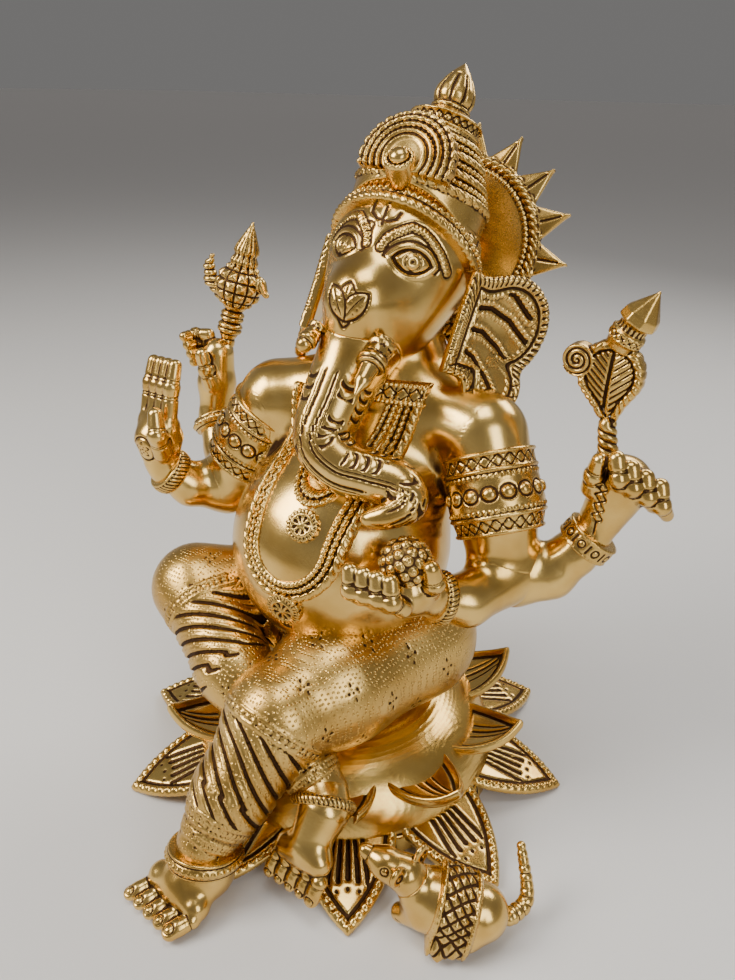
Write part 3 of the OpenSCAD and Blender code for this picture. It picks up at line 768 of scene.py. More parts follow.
def ring_field(line, t, outer, wide, pattern):
    """Bangle on the last part of a limb, turned and engraved."""
    a, b = line[-2], line[-1]
    centre = a[:3] + (b[:3] - a[:3]) * t
    turned = frame_along(b[:3] - a[:3], (0, -1, 0.2))

    def field(p):
        q = (p - centre) @ turned.T
        r = np.hypot(q[:, 0], q[:, 1])
        v = q[:, 2]
        d = cut(r - outer + 0.8 * np.square(v / (0.5 * wide)), np.abs(v) - wide / 2, 1.2)
        d = np.maximum(d, outer - 6 - r)
        return d, pattern(np.arctan2(q[:, 1], q[:, 0]) * outer, v, wide) * (r > outer - 3.5)
    return field


def bead_ring(u, v, wide):
    return beads(u, v, 3.3, 2.8, 0.9) + score(np.abs(v) - 0.32 * wide, 0.9, 0.7)


def bar_ring(u, v, wide):
    round_mark = score(np.hypot(((u / 9 + 0.5) % 1 - 0.5) * 9, v) - 1.9, 1.0, 0.8)
    bar = score(np.hypot(((u / 9) % 1 - 0.5) * 9, np.maximum(np.abs(v) - 2, 0)), 1.3, 0.8)
    return fold(round_mark, bar) * (np.abs(v) < 0.36 * wide) + ridge(np.abs(v) - 0.44 * wide, 1.3, 0.7)


def hatch_ring(u, v, wide):
    slant = hatch(u + 0.5 * v, 2.6, 0.7) * (np.abs(v) < 0.34 * wide)
    return slant + score(np.abs(v) - 0.36 * wide, 0.9, 0.6)


BANGLES = (("front_left_bangle", FORE_FL, 13.8, 7, hatch_ring),
           ("rear_left_bangle", FORE_BL, 14.4, 10, bar_ring),
           ("front_right_bangle", FORE_FR, 13.8, 9, hatch_ring),
           ("rear_right_bangle", FORE_BR, 13.3, 8, bead_ring))
for node, line, outer, wide, pattern in BANGLES:
    piece(node + "_ring", ring_field(line, 0.86, outer, wide, pattern), [node], "ornament_brass")

ANKLE_L = chain("left_anklet", (0.3, -1.3, -3.8, 1), (-0.7, 2.7, 8.2, 1))
ANKLE_R = chain("right_anklet", (-1.6, 4.1, 3.3, 1), (2.4, -5.9, -4.7, 1))
for node, line, at, outer, wide, pattern in (("left_anklet", ANKLE_L, 0.33, 19.2, 9, bead_ring),
                                             ("right_anklet", ANKLE_R, 0.42, 17.2, 6, hatch_ring)):
    piece(node + "_ring", ring_field(line, at, outer, wide, pattern), [node], "ornament_brass")

# ---------------------------------------------------------------- chest ornaments

def loop(p, node_x, low_z, r, top, spread):
    """Coordinates along and across a hanging loop drawn on the front of the body."""
    x, z = p[:, 0] - node_x, p[:, 2] - low_z
    half = r + (spread - r) * z / (top - low_z)
    v = np.where(z < 0, np.hypot(x, z) - r, np.abs(x) - half)
    s = np.where(z < 0, r * np.arctan2(x, -np.minimum(z, 0) + 1e-6), np.sign(x) * (math.pi / 2 * r + z))
    return s, v


def strand_field(place, wide, dress):
    def field(p):
        s, v = loop(p, *place)
        skin = torso_shape(p)
        d = cut(skin - 1.0, np.abs(v) - wide / 2, 0.8)
        d = np.maximum(np.maximum(d, -skin - 1.5), p[:, 1] - 30)
        return d, dress(s, v) * (skin > -0.8)
    return field


def long_dress(s, v):
    h = rope(s, v - 3.6, 4.4, 4.6, 1.5, 0.9) + beads(s, v + 0.6, 2.9, 2.6, 1.4)
    return h + beads(s, v + 3.9, 2.9, 2.6, 1.3) + fold(score(v - 1.1, 1.0, 1.2), score(v + 2.3, 0.9, 1.2))


def short_dress(s, v):
    return beads(s, v - 1.5, 2.9, 2.7, 1.2) + beads(s, v + 1.6, 2.9, 2.7, 1.2) + score(v, 0.8, 0.8)


LONG_AT = spot("long_necklace", 0, 26.6, -13.7)
SHORT_AT = spot("short_necklace", 0, 18.1, -5.5)
LONG_LOOP = (LONG_AT[0], LONG_AT[2], 23.5, LONG_AT[2] + 55, 29.5)
SHORT_LOOP = (SHORT_AT[0], SHORT_AT[2], 12.5, SHORT_AT[2] + 26, 16.5)
for node, place, wide, dress in (("long_necklace", LONG_LOOP, 11.5, long_dress),
                                 ("short_necklace", SHORT_LOOP, 6.2, short_dress)):
    piece(node + "_strands", strand_field(place, wide, dress), [node], "ornament_brass")
CHOKER_AT = spot("choker", 0, -11.9, 0)


def choker_field(p):
    skin = torso_shape(p)
    v = p[:, 2] - CHOKER_AT[2] + 0.05 * (p[:, 0] - CHOKER_AT[0])
    u = (p[:, 0] - CHOKER_AT[0]) * 1.15
    d = np.maximum(cut(skin - 2.2, np.abs(v) - 5.2, 1.0), -skin - 1.5)
    star = cross_row(u, v, 7.0, 5.6, 0.9) + score(wave(u, 7.0), 0.9, 0.5) * (np.abs(v) < 2.6)
    h = star + beads(u, np.abs(v) - 4.0, 2.5, 2.1, 0.9)
    return np.maximum(np.maximum(d, np.abs(u) - 37), p[:, 1] - 32), h


piece("choker_collar", choker_field, ["choker"], "ornament_brass", grow=4.0)


def pendant_field(way, r):
    n = unit(way)
    turned = frame_along(n, (0, 0, 1))
    centre = BELLY[:3] + n * BELLY[3]

    def field(p):
        q = (p - centre) @ turned.T
        rr = np.hypot(q[:, 0], q[:, 1])
        angle = np.arctan2(q[:, 1], q[:, 0])
        d = cut(rr - r - 0.35 * np.cos(16 * angle), np.abs(q[:, 2]) - 3.2, 1.0)
        h = ridge(rr - 0.62 * r, 1.6, 0.9) + score(wave(angle * r, 2.3), 0.9, 0.6) * (rr > 0.72 * r)
        star = 0.6 * np.cos(8 * angle) * (rr < 0.55 * r) * (rr > 0.2 * r)
        h = h + 1.3 * np.exp(-np.square(rr / (0.22 * r))) + star
        return d, h * (q[:, 2] > 0)
    return field


piece("belly_pendant_disc", pendant_field((6, -59, -9), 9.6), ["belly_pendant"], "ornament_brass")
piece("chest_pendant_disc", pendant_field((10, -47, 33), 8.4), ["chest_pendant"], "ornament_brass")

# ---------------------------------------------------------------- head

def head_shape(q):
    d = length(q) - HEAD_R
    d = blend(d, ball(q, (0, -6, -24), 30), 10)
    d = blend(d, ball(q, (0, -30, -27), 19), 10)
    return blend(d, ball(q, (1, -20, -52), 13), 8)


def trunk_shape(p):
    return limb(p, TRUNK_WAY, 2.0)


EYES = (((19, -31.7, -4.2), (11.3, -37, -8.9), (26.9, -24.9, -6.7)),
        ((-17.6, -32.6, -4.6), (-10.7, -36.2, -8.2), (-24.7, -27.5, -6.4)))
BROWS = (((3.6, -37.1, -1.8), (5, -36.6, 2.5), (7.8, -35.7, 5.6), (14, -32.5, 10.8), (19, -30.6, 10.6),
          (23.1, -27.8, 8.2), (28, -23.6, 3.6), (32.1, -18.2, -2.7)),
         ((-4.4, -37.1, -1.8), (-5.6, -36.6, 2.5), (-8.2, -35.7, 5.6), (-14, -32.5, 10.4),
          (-19, -30.6, 10.0), (-23.1, -27.8, 7.6), (-28, -23.6, 3.2), (-32.1, -18.2, -2.7)))
MARK = (((-8.7, -31.5, 17.4), (-7.6, -33.4, 13.2), (-3.8, -35.0, 10.6), (0, -35.4, 10.2)),
        ((6.5, -33.0, 15.4), (5.6, -34.2, 12), (3.0, -35.2, 10.4), (0, -35.4, 10.2)),
        ((-1.2, -33.0, 17.6), (-0.6, -34.4, 13), (0, -35.6, 8.4)))


def eye_height(q, centre, inner, outer):
    """A raised almond eye with an engraved outline, a lid line and a ringed pupil."""
    n = unit(np.array(centre, float))
    turned = frame_along(n, np.array(outer, float) - np.array(inner, float))
    w = (q - np.array(centre, float)) @ turned.T
    u, v = w[:, 0], w[:, 1]
    half, tall = 9.2, 5.0
    r = (half ** 2 + tall ** 2) / (2 * tall)
    almond = np.maximum(np.hypot(u, v + r - tall), np.hypot(u, v - r + tall)) - r
    pupil = np.hypot(u, v)
    h = 1.5 * np.clip(-almond / 5.5, 0, 1) ** 0.6
    h = h - 1.1 * np.exp(-np.square(almond / 0.8)) + 0.6 * np.exp(-np.square((almond - 1.8) / 1.0))
    h = h - 0.7 * np.exp(-np.square((almond - 4.0) / 0.7)) * (q[:, 2] > centre[2] - 2)
    h = h + score(pupil - 3.7, 1.1, 0.8) + score(pupil, 1.9, 1.3)
    return h * (np.abs(w[:, 2]) < 14) * (almond < 7)


def lotus_mark(q):
    """Engraved bud between two petals, with lines and dots inside, on the root of the trunk."""
    w = (q - (0.1, -48.6, -30.9)) @ frame_along((0, -1, 0.16), (1, 0, 0)).T
    u, v = w[:, 0], w[:, 1]
    h = np.zeros(len(q))
    for lean, wide, tall, x in ((0, 5.2, 9.5, 0), (34, 4.2, 8.4, 4.6), (-34, 4.2, 8.4, -4.6)):
        c, s = math.cos(math.radians(lean)), math.sin(math.radians(lean))
        a = c * (u - x) - s * (v + 1)
        b = s * (u - x) + c * (v + 1)
        r = (tall ** 2 + wide ** 2) / (2 * wide)
        bud = np.maximum(np.hypot(a + r - wide, b), np.hypot(a - r + wide, b)) - r
        h = np.where(bud < 0, 0, h)
        h = np.minimum(h, score(bud, 1.2, 0.9))
        h = np.minimum(h, (bud < -1.2) * score(a, 0.9, 0.5))
        h = np.minimum(h, (bud < -1.4) * score(np.hypot(np.abs(a) - 1.9, wave(b, 2.8)), 0.9, 0.6))
    return h * (w[:, 2] > -9) * (np.hypot(u, v) < 15)


def head_field(p):
    q = in_head(p)
    d = head_shape(q)
    shared = share(d, [(trunk_shape(p), 10)])
    lip = egg(q, (4, -19, -66), (8.5, 7.5, 13), turn("x", 12))
    shared = blend(shared, lip, 3)
    h = np.zeros(len(p))
    for centre, inner, outer in EYES:
        h = h + eye_height(q, centre, inner, outer)
    for points in BROWS:
        s, far = trace(q, points)
        h = h + ridge(far, 4.2, 0.9) + (far < 2.3) * hatch(s + 0.4 * far, 1.9, 0.8)
        h = h + score(far - 2.6, 0.9, 0.6)
    mark = np.zeros(len(p))
    for points in MARK:
        mark = np.minimum(mark, line_cut(q, points, 1.7, 1.0))
    mark = np.minimum(mark, score(length(q - (-6, -36, 6.2)) - 2.6, 1.0, 0.8))
    on_lip = (length((q - (4, -19, -66)) / (8.5, 7.5, 13)) < 1.35) * (q[:, 2] < -56)
    scales = on_lip * score(wave(q[:, 2] + 0.5 * np.abs(q[:, 0] - 4), 3.6), 1.3, 0.7)
    return shared, fold(h, h + mark, h + lotus_mark(q)) + scales


piece("head_face", head_field, ["head"], "polished_brass")


def trunk_field(p):
    own = trunk_shape(p)
    d = share(own, [(head_shape(in_head(p)), 10)])
    s, r, _, phi = around(p, TRUNK_WAY, np.array([0.10, -1.0, 0.05]))
    v = phi * r
    on = np.clip((s - 20) / 5, 0, 1) * np.clip((r - 5.0) / 1.5, 0, 1)
    lines = fold(score(np.abs(v) - 2.9, 1.2, 1.1), score(np.abs(v) - 5.0, 0.8, 0.5))
    h = beads(s, v, 3.5, 3.0, 0.9) + lines
    for at, pitch, wide in ((10.5, 5.6, 8.5), (-10.5, 5.6, 8.5), (20.5, 5.0, 7.5), (-20.5, 5.0, 7.5)):
        group = np.mod(s + at, 30) < 21
        h = np.minimum(h, group * crescents(s, v - at, pitch, wide, 0.85))
    return d, on * h + 0.25 * np.cos(s / 1.25) * on * (np.abs(v) > 26)


piece("trunk_curl", trunk_field, ["trunk"], "polished_brass")


def tusk_field(side, long, stout):
    a = from_head(side * 17, -30, -42)
    b = from_head(side * 19, -46, -66)
    way = unit(b - a)
    turned = frame_along(way, (0, -1, 0))

    def field(p):
        q = (p - a) @ turned.T
        r = np.hypot(q[:, 0], q[:, 1])
        collar = cut(r - stout - 0.6 * np.sin(q[:, 2] * 0.55), np.abs(q[:, 2] - 9) - stout - 1.3, 1.5)
        spike = limb(p, np.array([[*(a + way * 12), 5.2], [*(a + way * (16 + long * 0.55)), 3.8],
                                  [*(a + way * (16 + long)), 1.0]]), 1.0)
        u = np.arctan2(q[:, 1], q[:, 0]) * 7
        rings = fold(score(q[:, 2] - 15.6, 1.2, 0.8), score(q[:, 2] - 11.5, 1.0, 0.6),
                     crescents(q[:, 2], wave(u, 5.2) * 2 - 2, 4.0, 4.4, 0.6) * (q[:, 2] < 11))
        return np.minimum(collar, spike), rings * (collar < spike + 0.8)
    return field


piece("left_tusk_spike", tusk_field(1, 17, 6.8), ["left_tusk"], "polished_brass", grow=14)
piece("right_tusk_stub", tusk_field(-1, 0, 4.6), ["right_tusk"], "polished_brass", grow=14)


EAR_FOLDS = (((0, -5, 0), (10, 0, 0), (22, -1, 0), (36, -8, 0)),
             ((1, -14, 0), (12, -11, 0), (26, -13, 0), (40, -20, 0)),
             ((1, -24, 0), (12, -23, 0), (24, -27, 0), (36, -35, 0)),
             ((1, -34, 0), (10, -36, 0), (20, -43, 0), (30, -53, 0)))


def ear_field(side, reach, flare):
    turned = turn("z", flare) @ turn("x", 90)

    def field(p):
        q = in_head(p) * (side, 1, 1)
        w = (q - (reach, -4, 1)) @ turned
        x, y, z = w.T
        edge = blend(np.hypot(x - 25, y + 16) - 25, np.hypot(x - 26, y + 45) - 18, 5)
        box = np.maximum(np.abs(x - 12) - 17, np.abs(y + 23) - 25)
        edge = blend(edge, box, 5)
        bowl = 1.2 - 2.8 * np.exp(-(np.square((x - 24) / 17) + np.square((y + 22) / 22)))
        bowl = bowl + 1.6 * np.sin((y + 8) / 9.5) * np.clip(x / 30, 0, 1)
        rim = np.exp(-np.square((edge + 2.4) / 2.2))
        d = cut(edge, np.abs(z - bowl) - 2.2 - 1.3 * rim, 1.8)
        s = np.arctan2(y + 28, x - 12) * 34
        h = (np.abs(edge + 2.6) < 2.2) * hatch(s, 3.0, 0.8) * (y > -40)
        h = h + (y <= -40) * cross_row(s, edge + 3.4, 5.2, 5.0, 0.9)
        h = h + score(edge + 6.2, 1.3, 0.9) + beads(s, edge + 8.6, 3.1, 2.5, 0.7)
        w2 = np.stack([x, y, np.zeros(len(x))], 1)
        for points in EAR_FOLDS:
            t, far = trace(w2, points)
            beaded = 0.9 * np.exp(-np.square((far - 2.6) / 1.1)) * (0.55 + 0.45 * np.cos(t * 2.1))
            h = h + (edge < -8.5) * (score(far, 2.2, 1.2) + beaded)
        return d, h * (z > bowl - 0.5)
    return field


piece("left_ear_flap", ear_field(1, 43, 52), ["left_ear"], "polished_brass", grow=5.0)
piece("right_ear_flap", ear_field(-1, 38, 68), ["right_ear"], "polished_brass", grow=5.0)


def brow_band_field(p):
    q = in_head(p) @ turn("x", -30)
    d = cut(length(q) - HEAD_R - 3.2, np.abs(q[:, 2] - 5) - 5.2, 1.0)
    d = np.maximum(d, HEAD_R - 2 - length(q))
    u = np.arctan2(q[:, 1], q[:, 0]) * 40
    v = q[:, 2] - 5
    h = rope(u, v + 2.7, 4.2, 4.4, 1.4) + beads(u, v - 2.5, 3.6, 3.4, 1.5) + score(v - 0.2, 0.9, 1.0)
    return d, h


piece("brow_band_rows", brow_band_field, ["brow_band"], "ornament_brass", grow=4.0)

# Height and radius up the crown, then the rows on it: height, 1 for a rope or 0 for beads, width
CROWN_EDGE = np.array([[20, 34.0], [31, 34.0], [34, 33.2], [38, 31], [47, 27], [55, 23], [62, 18.5],
                       [64.5, 17.6], [70, 17.6], [72.5, 13], [75.5, 8.6], [77, 8.6], [79, 10],
                       [81.5, 10.6], [85, 10.0], [90, 7.4], [94, 4.6], [99, 0.2]])
CROWN_ROWS = ((33, 1, 5.0), (37.5, 0, 3.6), (42, 1, 4.8), (46.5, 0, 3.4), (51, 1, 4.6), (55.2, 0, 3.2),
              (59.2, 1, 4.0))


def crown_field(p):
    q = in_head(p)
    r = np.hypot(q[:, 0], q[:, 1])
    z = q[:, 2]
    tilted = q @ turn("x", -30)
    dome = np.maximum(length(q) - HEAD_R - 2.8, 9.5 - tilted[:, 2])
    cone = (r - np.interp(z, CROWN_EDGE[:, 0], CROWN_EDGE[:, 1])) * 0.80
    cone = np.maximum(np.maximum(cone, 20 - z), z - 99)
    d = np.minimum(dome, cone)
    d = np.maximum(d, HEAD_R - 1.5 - length(q))
    d = np.maximum(d, 9.0 - tilted[:, 2])
    angle = np.arctan2(q[:, 1], q[:, 0])
    h = np.zeros(len(p))
    for at, kind, size in CROWN_ROWS:
        u = angle * np.interp(at, CROWN_EDGE[:, 0], CROWN_EDGE[:, 1])
        h = h + (rope(u, z - at, size, size, 1.6) if kind else beads(u, z - at, size, size * 0.9, 1.4))
        h = h + score(z - at - size / 2 - 0.1, 0.9, 0.9)
    ring = angle * 17.6
    h = h + ridge(z - 64.3, 1.8, 1.0) + ridge(z - 70.0, 1.8, 1.0) + cross_row(ring, z - 67.1, 4.6, 4.0, 0.9)
    bud = (z > 78) * (z < 92) * score(wave(angle, 2 * math.pi / 9) * 9, 1.6, 1.0)
    net = (z < 32) * (cone > 0.6) * lattice(angle * 36, tilted[:, 2], 5.2, 0.7, 0.7)
    h = h + bud + ridge(z - 76, 1.8, 1.3) + net
    return d, h


piece("crown_tiers", crown_field, ["crown"], "ornament_brass", FINE * 1.08, grow=4.0)


def plume_field(p):
    q = (in_head(p) - (0, -31, 39)) @ turn("x", 82)
    x, y, z = q.T
    r = np.hypot(x, y)
    angle = np.arctan2(y, x)
    front = 6.4 - 0.16 * r
    rim = 23.6 + 0.7 * np.abs(np.cos(angle * 11))
    d = cut(r - rim, np.abs(z - (front - 3.2)) - 3.2, 1.2)
    d = np.maximum(d, -y - 6)
    d = np.maximum(d, 2 - (length(in_head(p)) - HEAD_R))
    h = np.zeros(len(p))
    for at in (9.6, 13.0, 16.4, 19.8):
        h = h + 1.0 * np.exp(-np.square((r - at) / 0.9)) + score(r - at - 1.75, 1.0, 0.9)
    h = h + (r > 17.6) * score(wave(angle * 21, 4.2), 1.0, 0.7)
    h = h + (np.abs(r - 14.7) < 1.2) * score(wave(angle * 14, 2.4), 0.9, 0.5)
    return d, h * (z > front - 3)


def boss_field(p):
    q = in_head(p)
    turned = frame_along((0, -16, 9), (0, 0, 1))
    w = (q - (0, -32, 33.4)) @ turned.T
    r = np.hypot(w[:, 0], w[:, 1])
    angle = np.arctan2(w[:, 1], w[:, 0])
    d = np.minimum(cut(r - 7.4, np.abs(w[:, 2] - 2) - 7.0, 1.4), egg(w, (0, 0, 8.6), (5.2, 5.2, 4.2)))
    h = beads(angle * 6.4, r - 6.2, 2.5, 2.1, 0.8) * (w[:, 2] > 7)
    h = h + score(r - 4.9, 1.0, 0.8) * (w[:, 2] > 6)
    return d, h


piece("crown_plume_fan", plume_field, ["crown_plume"], "ornament_brass")
piece("crown_boss_dome", boss_field, ["crown_boss"], "polished_brass")


def halo_field(p):
    q = (in_head(p) - (5, 41.5, 22)) @ turn("x", 90)
    x, y, z = q.T
    r = np.hypot(x, y)
    step = 2 * math.pi / 16
    angle = np.arctan2(y, x) - math.radians(94)
    fold_angle = np.abs((angle / step + 0.5) % 1.0 - 0.5) * step
    a, b = r * np.cos(fold_angle), r * np.sin(fold_angle)
    tip, low = np.array([66.0, 0.0]), np.array([49 * math.cos(step / 2), 49 * math.sin(step / 2)])
    way = (low - tip) / np.linalg.norm(low - tip)
    star = np.maximum((a - tip[0]) * way[1] - (b - tip[1]) * way[0] - 0.6, r - 66.5)
    d = cut(star, np.abs(z + 2) - 2.2, 1.3)
    u = np.arctan2(y, x) * 47
    h = rope(u, r - 47, 4.4, 5.2, 2.0) + beads(u, r - 42.6, 3.2, 2.7, 1.0)
    bevel = 0.5 * np.clip((b / np.maximum(66 - r, 2) * 3.2) - 0.5, 0, 1)
    return d, h + (r > 50.5) * (score(b, 1.4, 0.9) * (r < 62) - bevel)


piece("halo_rays", halo_field, ["halo"], "ornament_brass", grow=2.0)

# ---------------------------------------------------------------- hands and what they hold

def finger(p, line, r, rows=True):
    """One finger with creases at its joints."""
    d = limb(p, line, 2.0)
    s = along(p, line)[0]
    total = sum(np.linalg.norm(b[:3] - a[:3]) for a, b in zip(line[:-1], line[1:]))
    creases = fold(*[score(s - total * t, 0.9, 0.55) for t in (0.30, 0.36, 0.64, 0.70)])
    return d, creases * rows


def fan_of(start, step, first, second, r, count=4):
    """Chains for a row of fingers."""
    start, step, first, second = (np.array(v, float) for v in (start, step, first, second))
    out = []
    for k in range(count):
        a = start + step * k
        b, c = a + first, a + first + second
        out.append(np.array([[*a, r], [*b, r * 0.95], [*c, r * 0.8]]))
    return out


def hand_field(palm, fingers, wrist, extra=None):
    def field(p):
        d = melt(5, *[limb(p, line, 4) for line in palm])
        h = np.zeros(len(p))
        for line in fingers:
            f, crease = finger(p, line, line[0][3])
            h = np.where(f < d, crease, h)
            d = blend(d, f, 2.0)
        d = blend(d, limb(p, wrist[-2:], 3), 4)
        if extra is not None:
            h = h + extra(p)
        return d, h
    return field


HAND_FL = spot("front_left_hand", 7.9, -9, -2.3)
HAND_BL = spot("rear_left_hand", -6.5, -10.3, 20.8)
HAND_FR = spot("front_right_hand", -11.5, 5.5, 1.6)
HAND_BR = spot("rear_right_hand", -0.1, 9.3, 6.4)
palm_fl = [chain("front_left_hand", (8.9, 14, -7.3, 10.5), (2.9, 4, -1.3, 12), (-5.1, -3, -1.3, 9))]
thumb_fl = chain("front_left_hand", (11.9, 7, -0.3, 5.4), (16.9, 4, 7.7, 5), (15.9, 2, 15.7, 4.2))
palm_bl = [chain("rear_left_hand", (-10.5, -2.3, -15.2, 11), (-4.5, 1.7, 3.8, 14.5))]
thumb_bl = chain("rear_left_hand", (-16.5, -7.3, 1.8, 5.4), (-15.5, -10.3, 9.8, 5),
                 (-13.5, -12.3, 18.8, 4.2))
palm_fr = [chain("front_right_hand", (-0.5, 0.5, -25.4, 10), (-0.5, 0.5, -13.4, 13.5)),
           chain("front_right_hand", (-9.5, 3.5, -4.4, 6.5), (7.5, 0.5, -3.4, 6.5))]
thumb_fr = chain("front_right_hand", (8.5, -6.5, -16.4, 5.6), (11.5, -11.5, -4.4, 5), (8.5, -8.5, 5.6, 4.2))
palm_br = [chain("rear_right_hand", (3.9, -0.7, -20.6, 9.5), (3.9, 2.3, -5.6, 11), (4.9, 4.3, 12.4, 9.5))]
point_br = chain("rear_right_hand", (7.9, -6.7, -3.6, 4.8), (5.9, -8.2, 5.4, 4.6), (4.9, -9.7, 15.4, 4))

PALM_MARK = spot("front_right_hand", -0.5, -12.5, -15.4)


def palm_rosette(p):
    """Small engraved flower inside a ring on the blessing palm."""
    w = (p - PALM_MARK) @ frame_along((0, -1, 0), (0, 0, 1)).T
    u, v = w[:, 0], w[:, 1]
    r, angle = np.hypot(u, v), np.arctan2(v, u)
    petals = score(r - 3.1 - 1.3 * np.cos(5 * angle), 1.0, 0.7)
    return fold(petals, score(r - 7.0, 1.1, 0.8), score(r, 1.4, 0.7)) * (np.abs(w[:, 2]) < 8) * (r < 9)


def strap_marks(p):
    s = along(p, palm_bl[0])[0]
    return (p[:, 1] < palm_bl[0][1][1]) * cross_row(s, p[:, 0] - palm_bl[0][1][0] + 6, 5.0, 6.0, 0.8)


fingers_fl = fan_of(HAND_FL, (-6.5, -1.2, 0.4), (-2, -6, 6), (-2, 2, 9), 4.6) + [thumb_fl]
fingers_bl = fan_of(HAND_BL, (6.6, 3.6, -4.4), (3, -2, -9), (2, 5, -6), 4.3) + [thumb_bl]
fingers_fr = fan_of(HAND_FR, (6.6, -1.2, 0.6), (0.5, 3, 14), (0, 4, 11), 4.5) + [thumb_fr]
fingers_br = fan_of(HAND_BR, (-1, -1.2, 5.4), (-8, -3, 0), (-1, -9, 0), 3.7) + [point_br]
HANDS = (("front_left_palm", palm_fl, fingers_fl, FORE_FL, None, "front_left_hand"),
         ("rear_left_fist", palm_bl, fingers_bl, FORE_BL, strap_marks, "rear_left_hand"),
         ("blessing_palm", palm_fr, fingers_fr, FORE_FR, palm_rosette, "front_right_hand"),
         ("rear_right_fist", palm_br, fingers_br, FORE_BR, None, "rear_right_hand"))
for name, palm, fingers, wrist, extra, node in HANDS:
    piece(name, hand_field(palm, fingers, wrist, extra), [node], "polished_brass")

SWEET = chain("sweet", (0, 0, 0, 12.5))[0]


def sweet_field(p):
    q = p - SWEET[:3]
    n = 70
    k = np.arange(n) + 0.5
    tilt, spin = np.arccos(1 - 2 * k / n), math.pi * (1 + 5 ** 0.5) * k
    seeds = SWEET[3] * np.stack([np.cos(spin) * np.sin(tilt), np.sin(spin) * np.sin(tilt), np.cos(tilt)], 1)
    near = np.full(len(p), 9.0)
    for seed in seeds:
        near = np.minimum(near, length(q - seed))
    return length(q) - SWEET[3], 1.1 * np.exp(-np.square((near - 1.2) / 0.8)) - 0.3


piece("sweet_ball", sweet_field, ["sweet"], "ornament_brass")

NOOSE_AT = spot("noose", 3.8, 0, 10.5)
NOOSE_STEM = chain("noose", (11.8, 0, -45.5, 5), (8.8, 0, -31.5, 5.2), (5.8, 0, -15.5, 4.6))
NOOSE_COIL = spot("noose", -12.2, 0, 14.5)
NOOSE_TIP = chain("noose", (4.8, 0, 22.5, 6), (18.8, 0, 49.5, 2))


def noose_field(p):
    q = p - NOOSE_AT
    x, y, z = q.T
    narrow = limb(np.stack([x, 0 * x, z], 1), np.array([[0, 0, -6, 13.0], [2, 0, -24, 4.0]]), 3)
    edge = blend(np.hypot(x, z) - 15.5, narrow, 4)
    leaf_d = cut(edge, (np.abs(y) - 4.6 + 0.012 * (x * x + z * z) * 0.6) * 0.95, 2.4)
    inner = edge < -4.0
    h = rope(np.arctan2(z + 4, x) * 15, edge + 1.9, 4.0, 4.2, 1.5) + score(edge + 4.4, 1.1, 1.0)
    bones = score(wave(z - 0.9 * np.abs(x), 3.4), 1.2, 0.8) * (np.abs(x) > 1.4)
    h = h + inner * fold(score(x - 0.05 * z, 1.8, 1.6), bones)
    stem = limb(p, NOOSE_STEM, 2)
    s, _, off, _ = along(p, NOOSE_STEM)
    twist = score(wave(s + 0.9 * np.arctan2(off[:, 1], off[:, 0]) * 2, 4.2), 1.5, 1.0)
    c = p - NOOSE_COIL
    r = np.hypot(c[:, 0], c[:, 2])
    coil = cut(r - 8.2, np.abs(c[:, 1]) - 4.6, 1.6)
    coil_h = score(wave(r - 1.0 + np.arctan2(c[:, 2], c[:, 0]) * 2.6 / (2 * math.pi), 2.6), 1.1, 1.1)
    a, b = NOOSE_TIP[0][:3], NOOSE_TIP[1][:3]
    turned = frame_along(b - a, (0, -1, 0))
    w = (p - a) @ turned.T
    rr, t = np.hypot(w[:, 0], w[:, 1]), w[:, 2]
    angle = np.arctan2(w[:, 1], w[:, 0])
    radius = np.interp(t, [0, 4, 5, 9, 10, 13, 15, 19, 30], [6.5, 7.5, 8.6, 8.6, 7.0, 7.0, 8.8, 8.0, 0.8])
    facet = np.cos(wave(angle, math.pi / 4) * (t > 14))
    tip = np.maximum(np.maximum((rr * facet - radius) * 0.85, -t), t - 31)
    tip_h = cross_row(angle * 8.6, t - 7, 4.2, 3.6, 0.8)
    tip_h = tip_h + score(wave(angle * 7, 2.4), 0.9, 0.6) * (np.abs(t - 11.5) < 1.4)
    d = leaf_d
    for other, marks in ((stem, twist), (coil, coil_h), (tip, tip_h)):
        h = np.where(other < d, marks, h)
        d = blend(d, other, 1.0)
    return d, h


piece("noose_leaf", noose_field, ["noose"], "ornament_brass")

GOAD = chain("goad", (-7.5, -10.4, -43.9, 4), (-4.5, -5.4, -15.9, 4.6), (7.5, 7.6, 47.1, 4))
HORN = chain("goad", (-9.5, -1.4, 6.1, 5.5), (-17.5, -3.4, 14.1, 4.4), (-18.5, -3.4, 22.1, 3.2),
             (-15.5, -3.4, 28.1, 1.6))
BEAK = chain("goad", (6.5, 3.6, 16.1, 5), (14.5, 2.6, 14.1, 3.8), (19.5, 2.6, 8.1, 1.8))


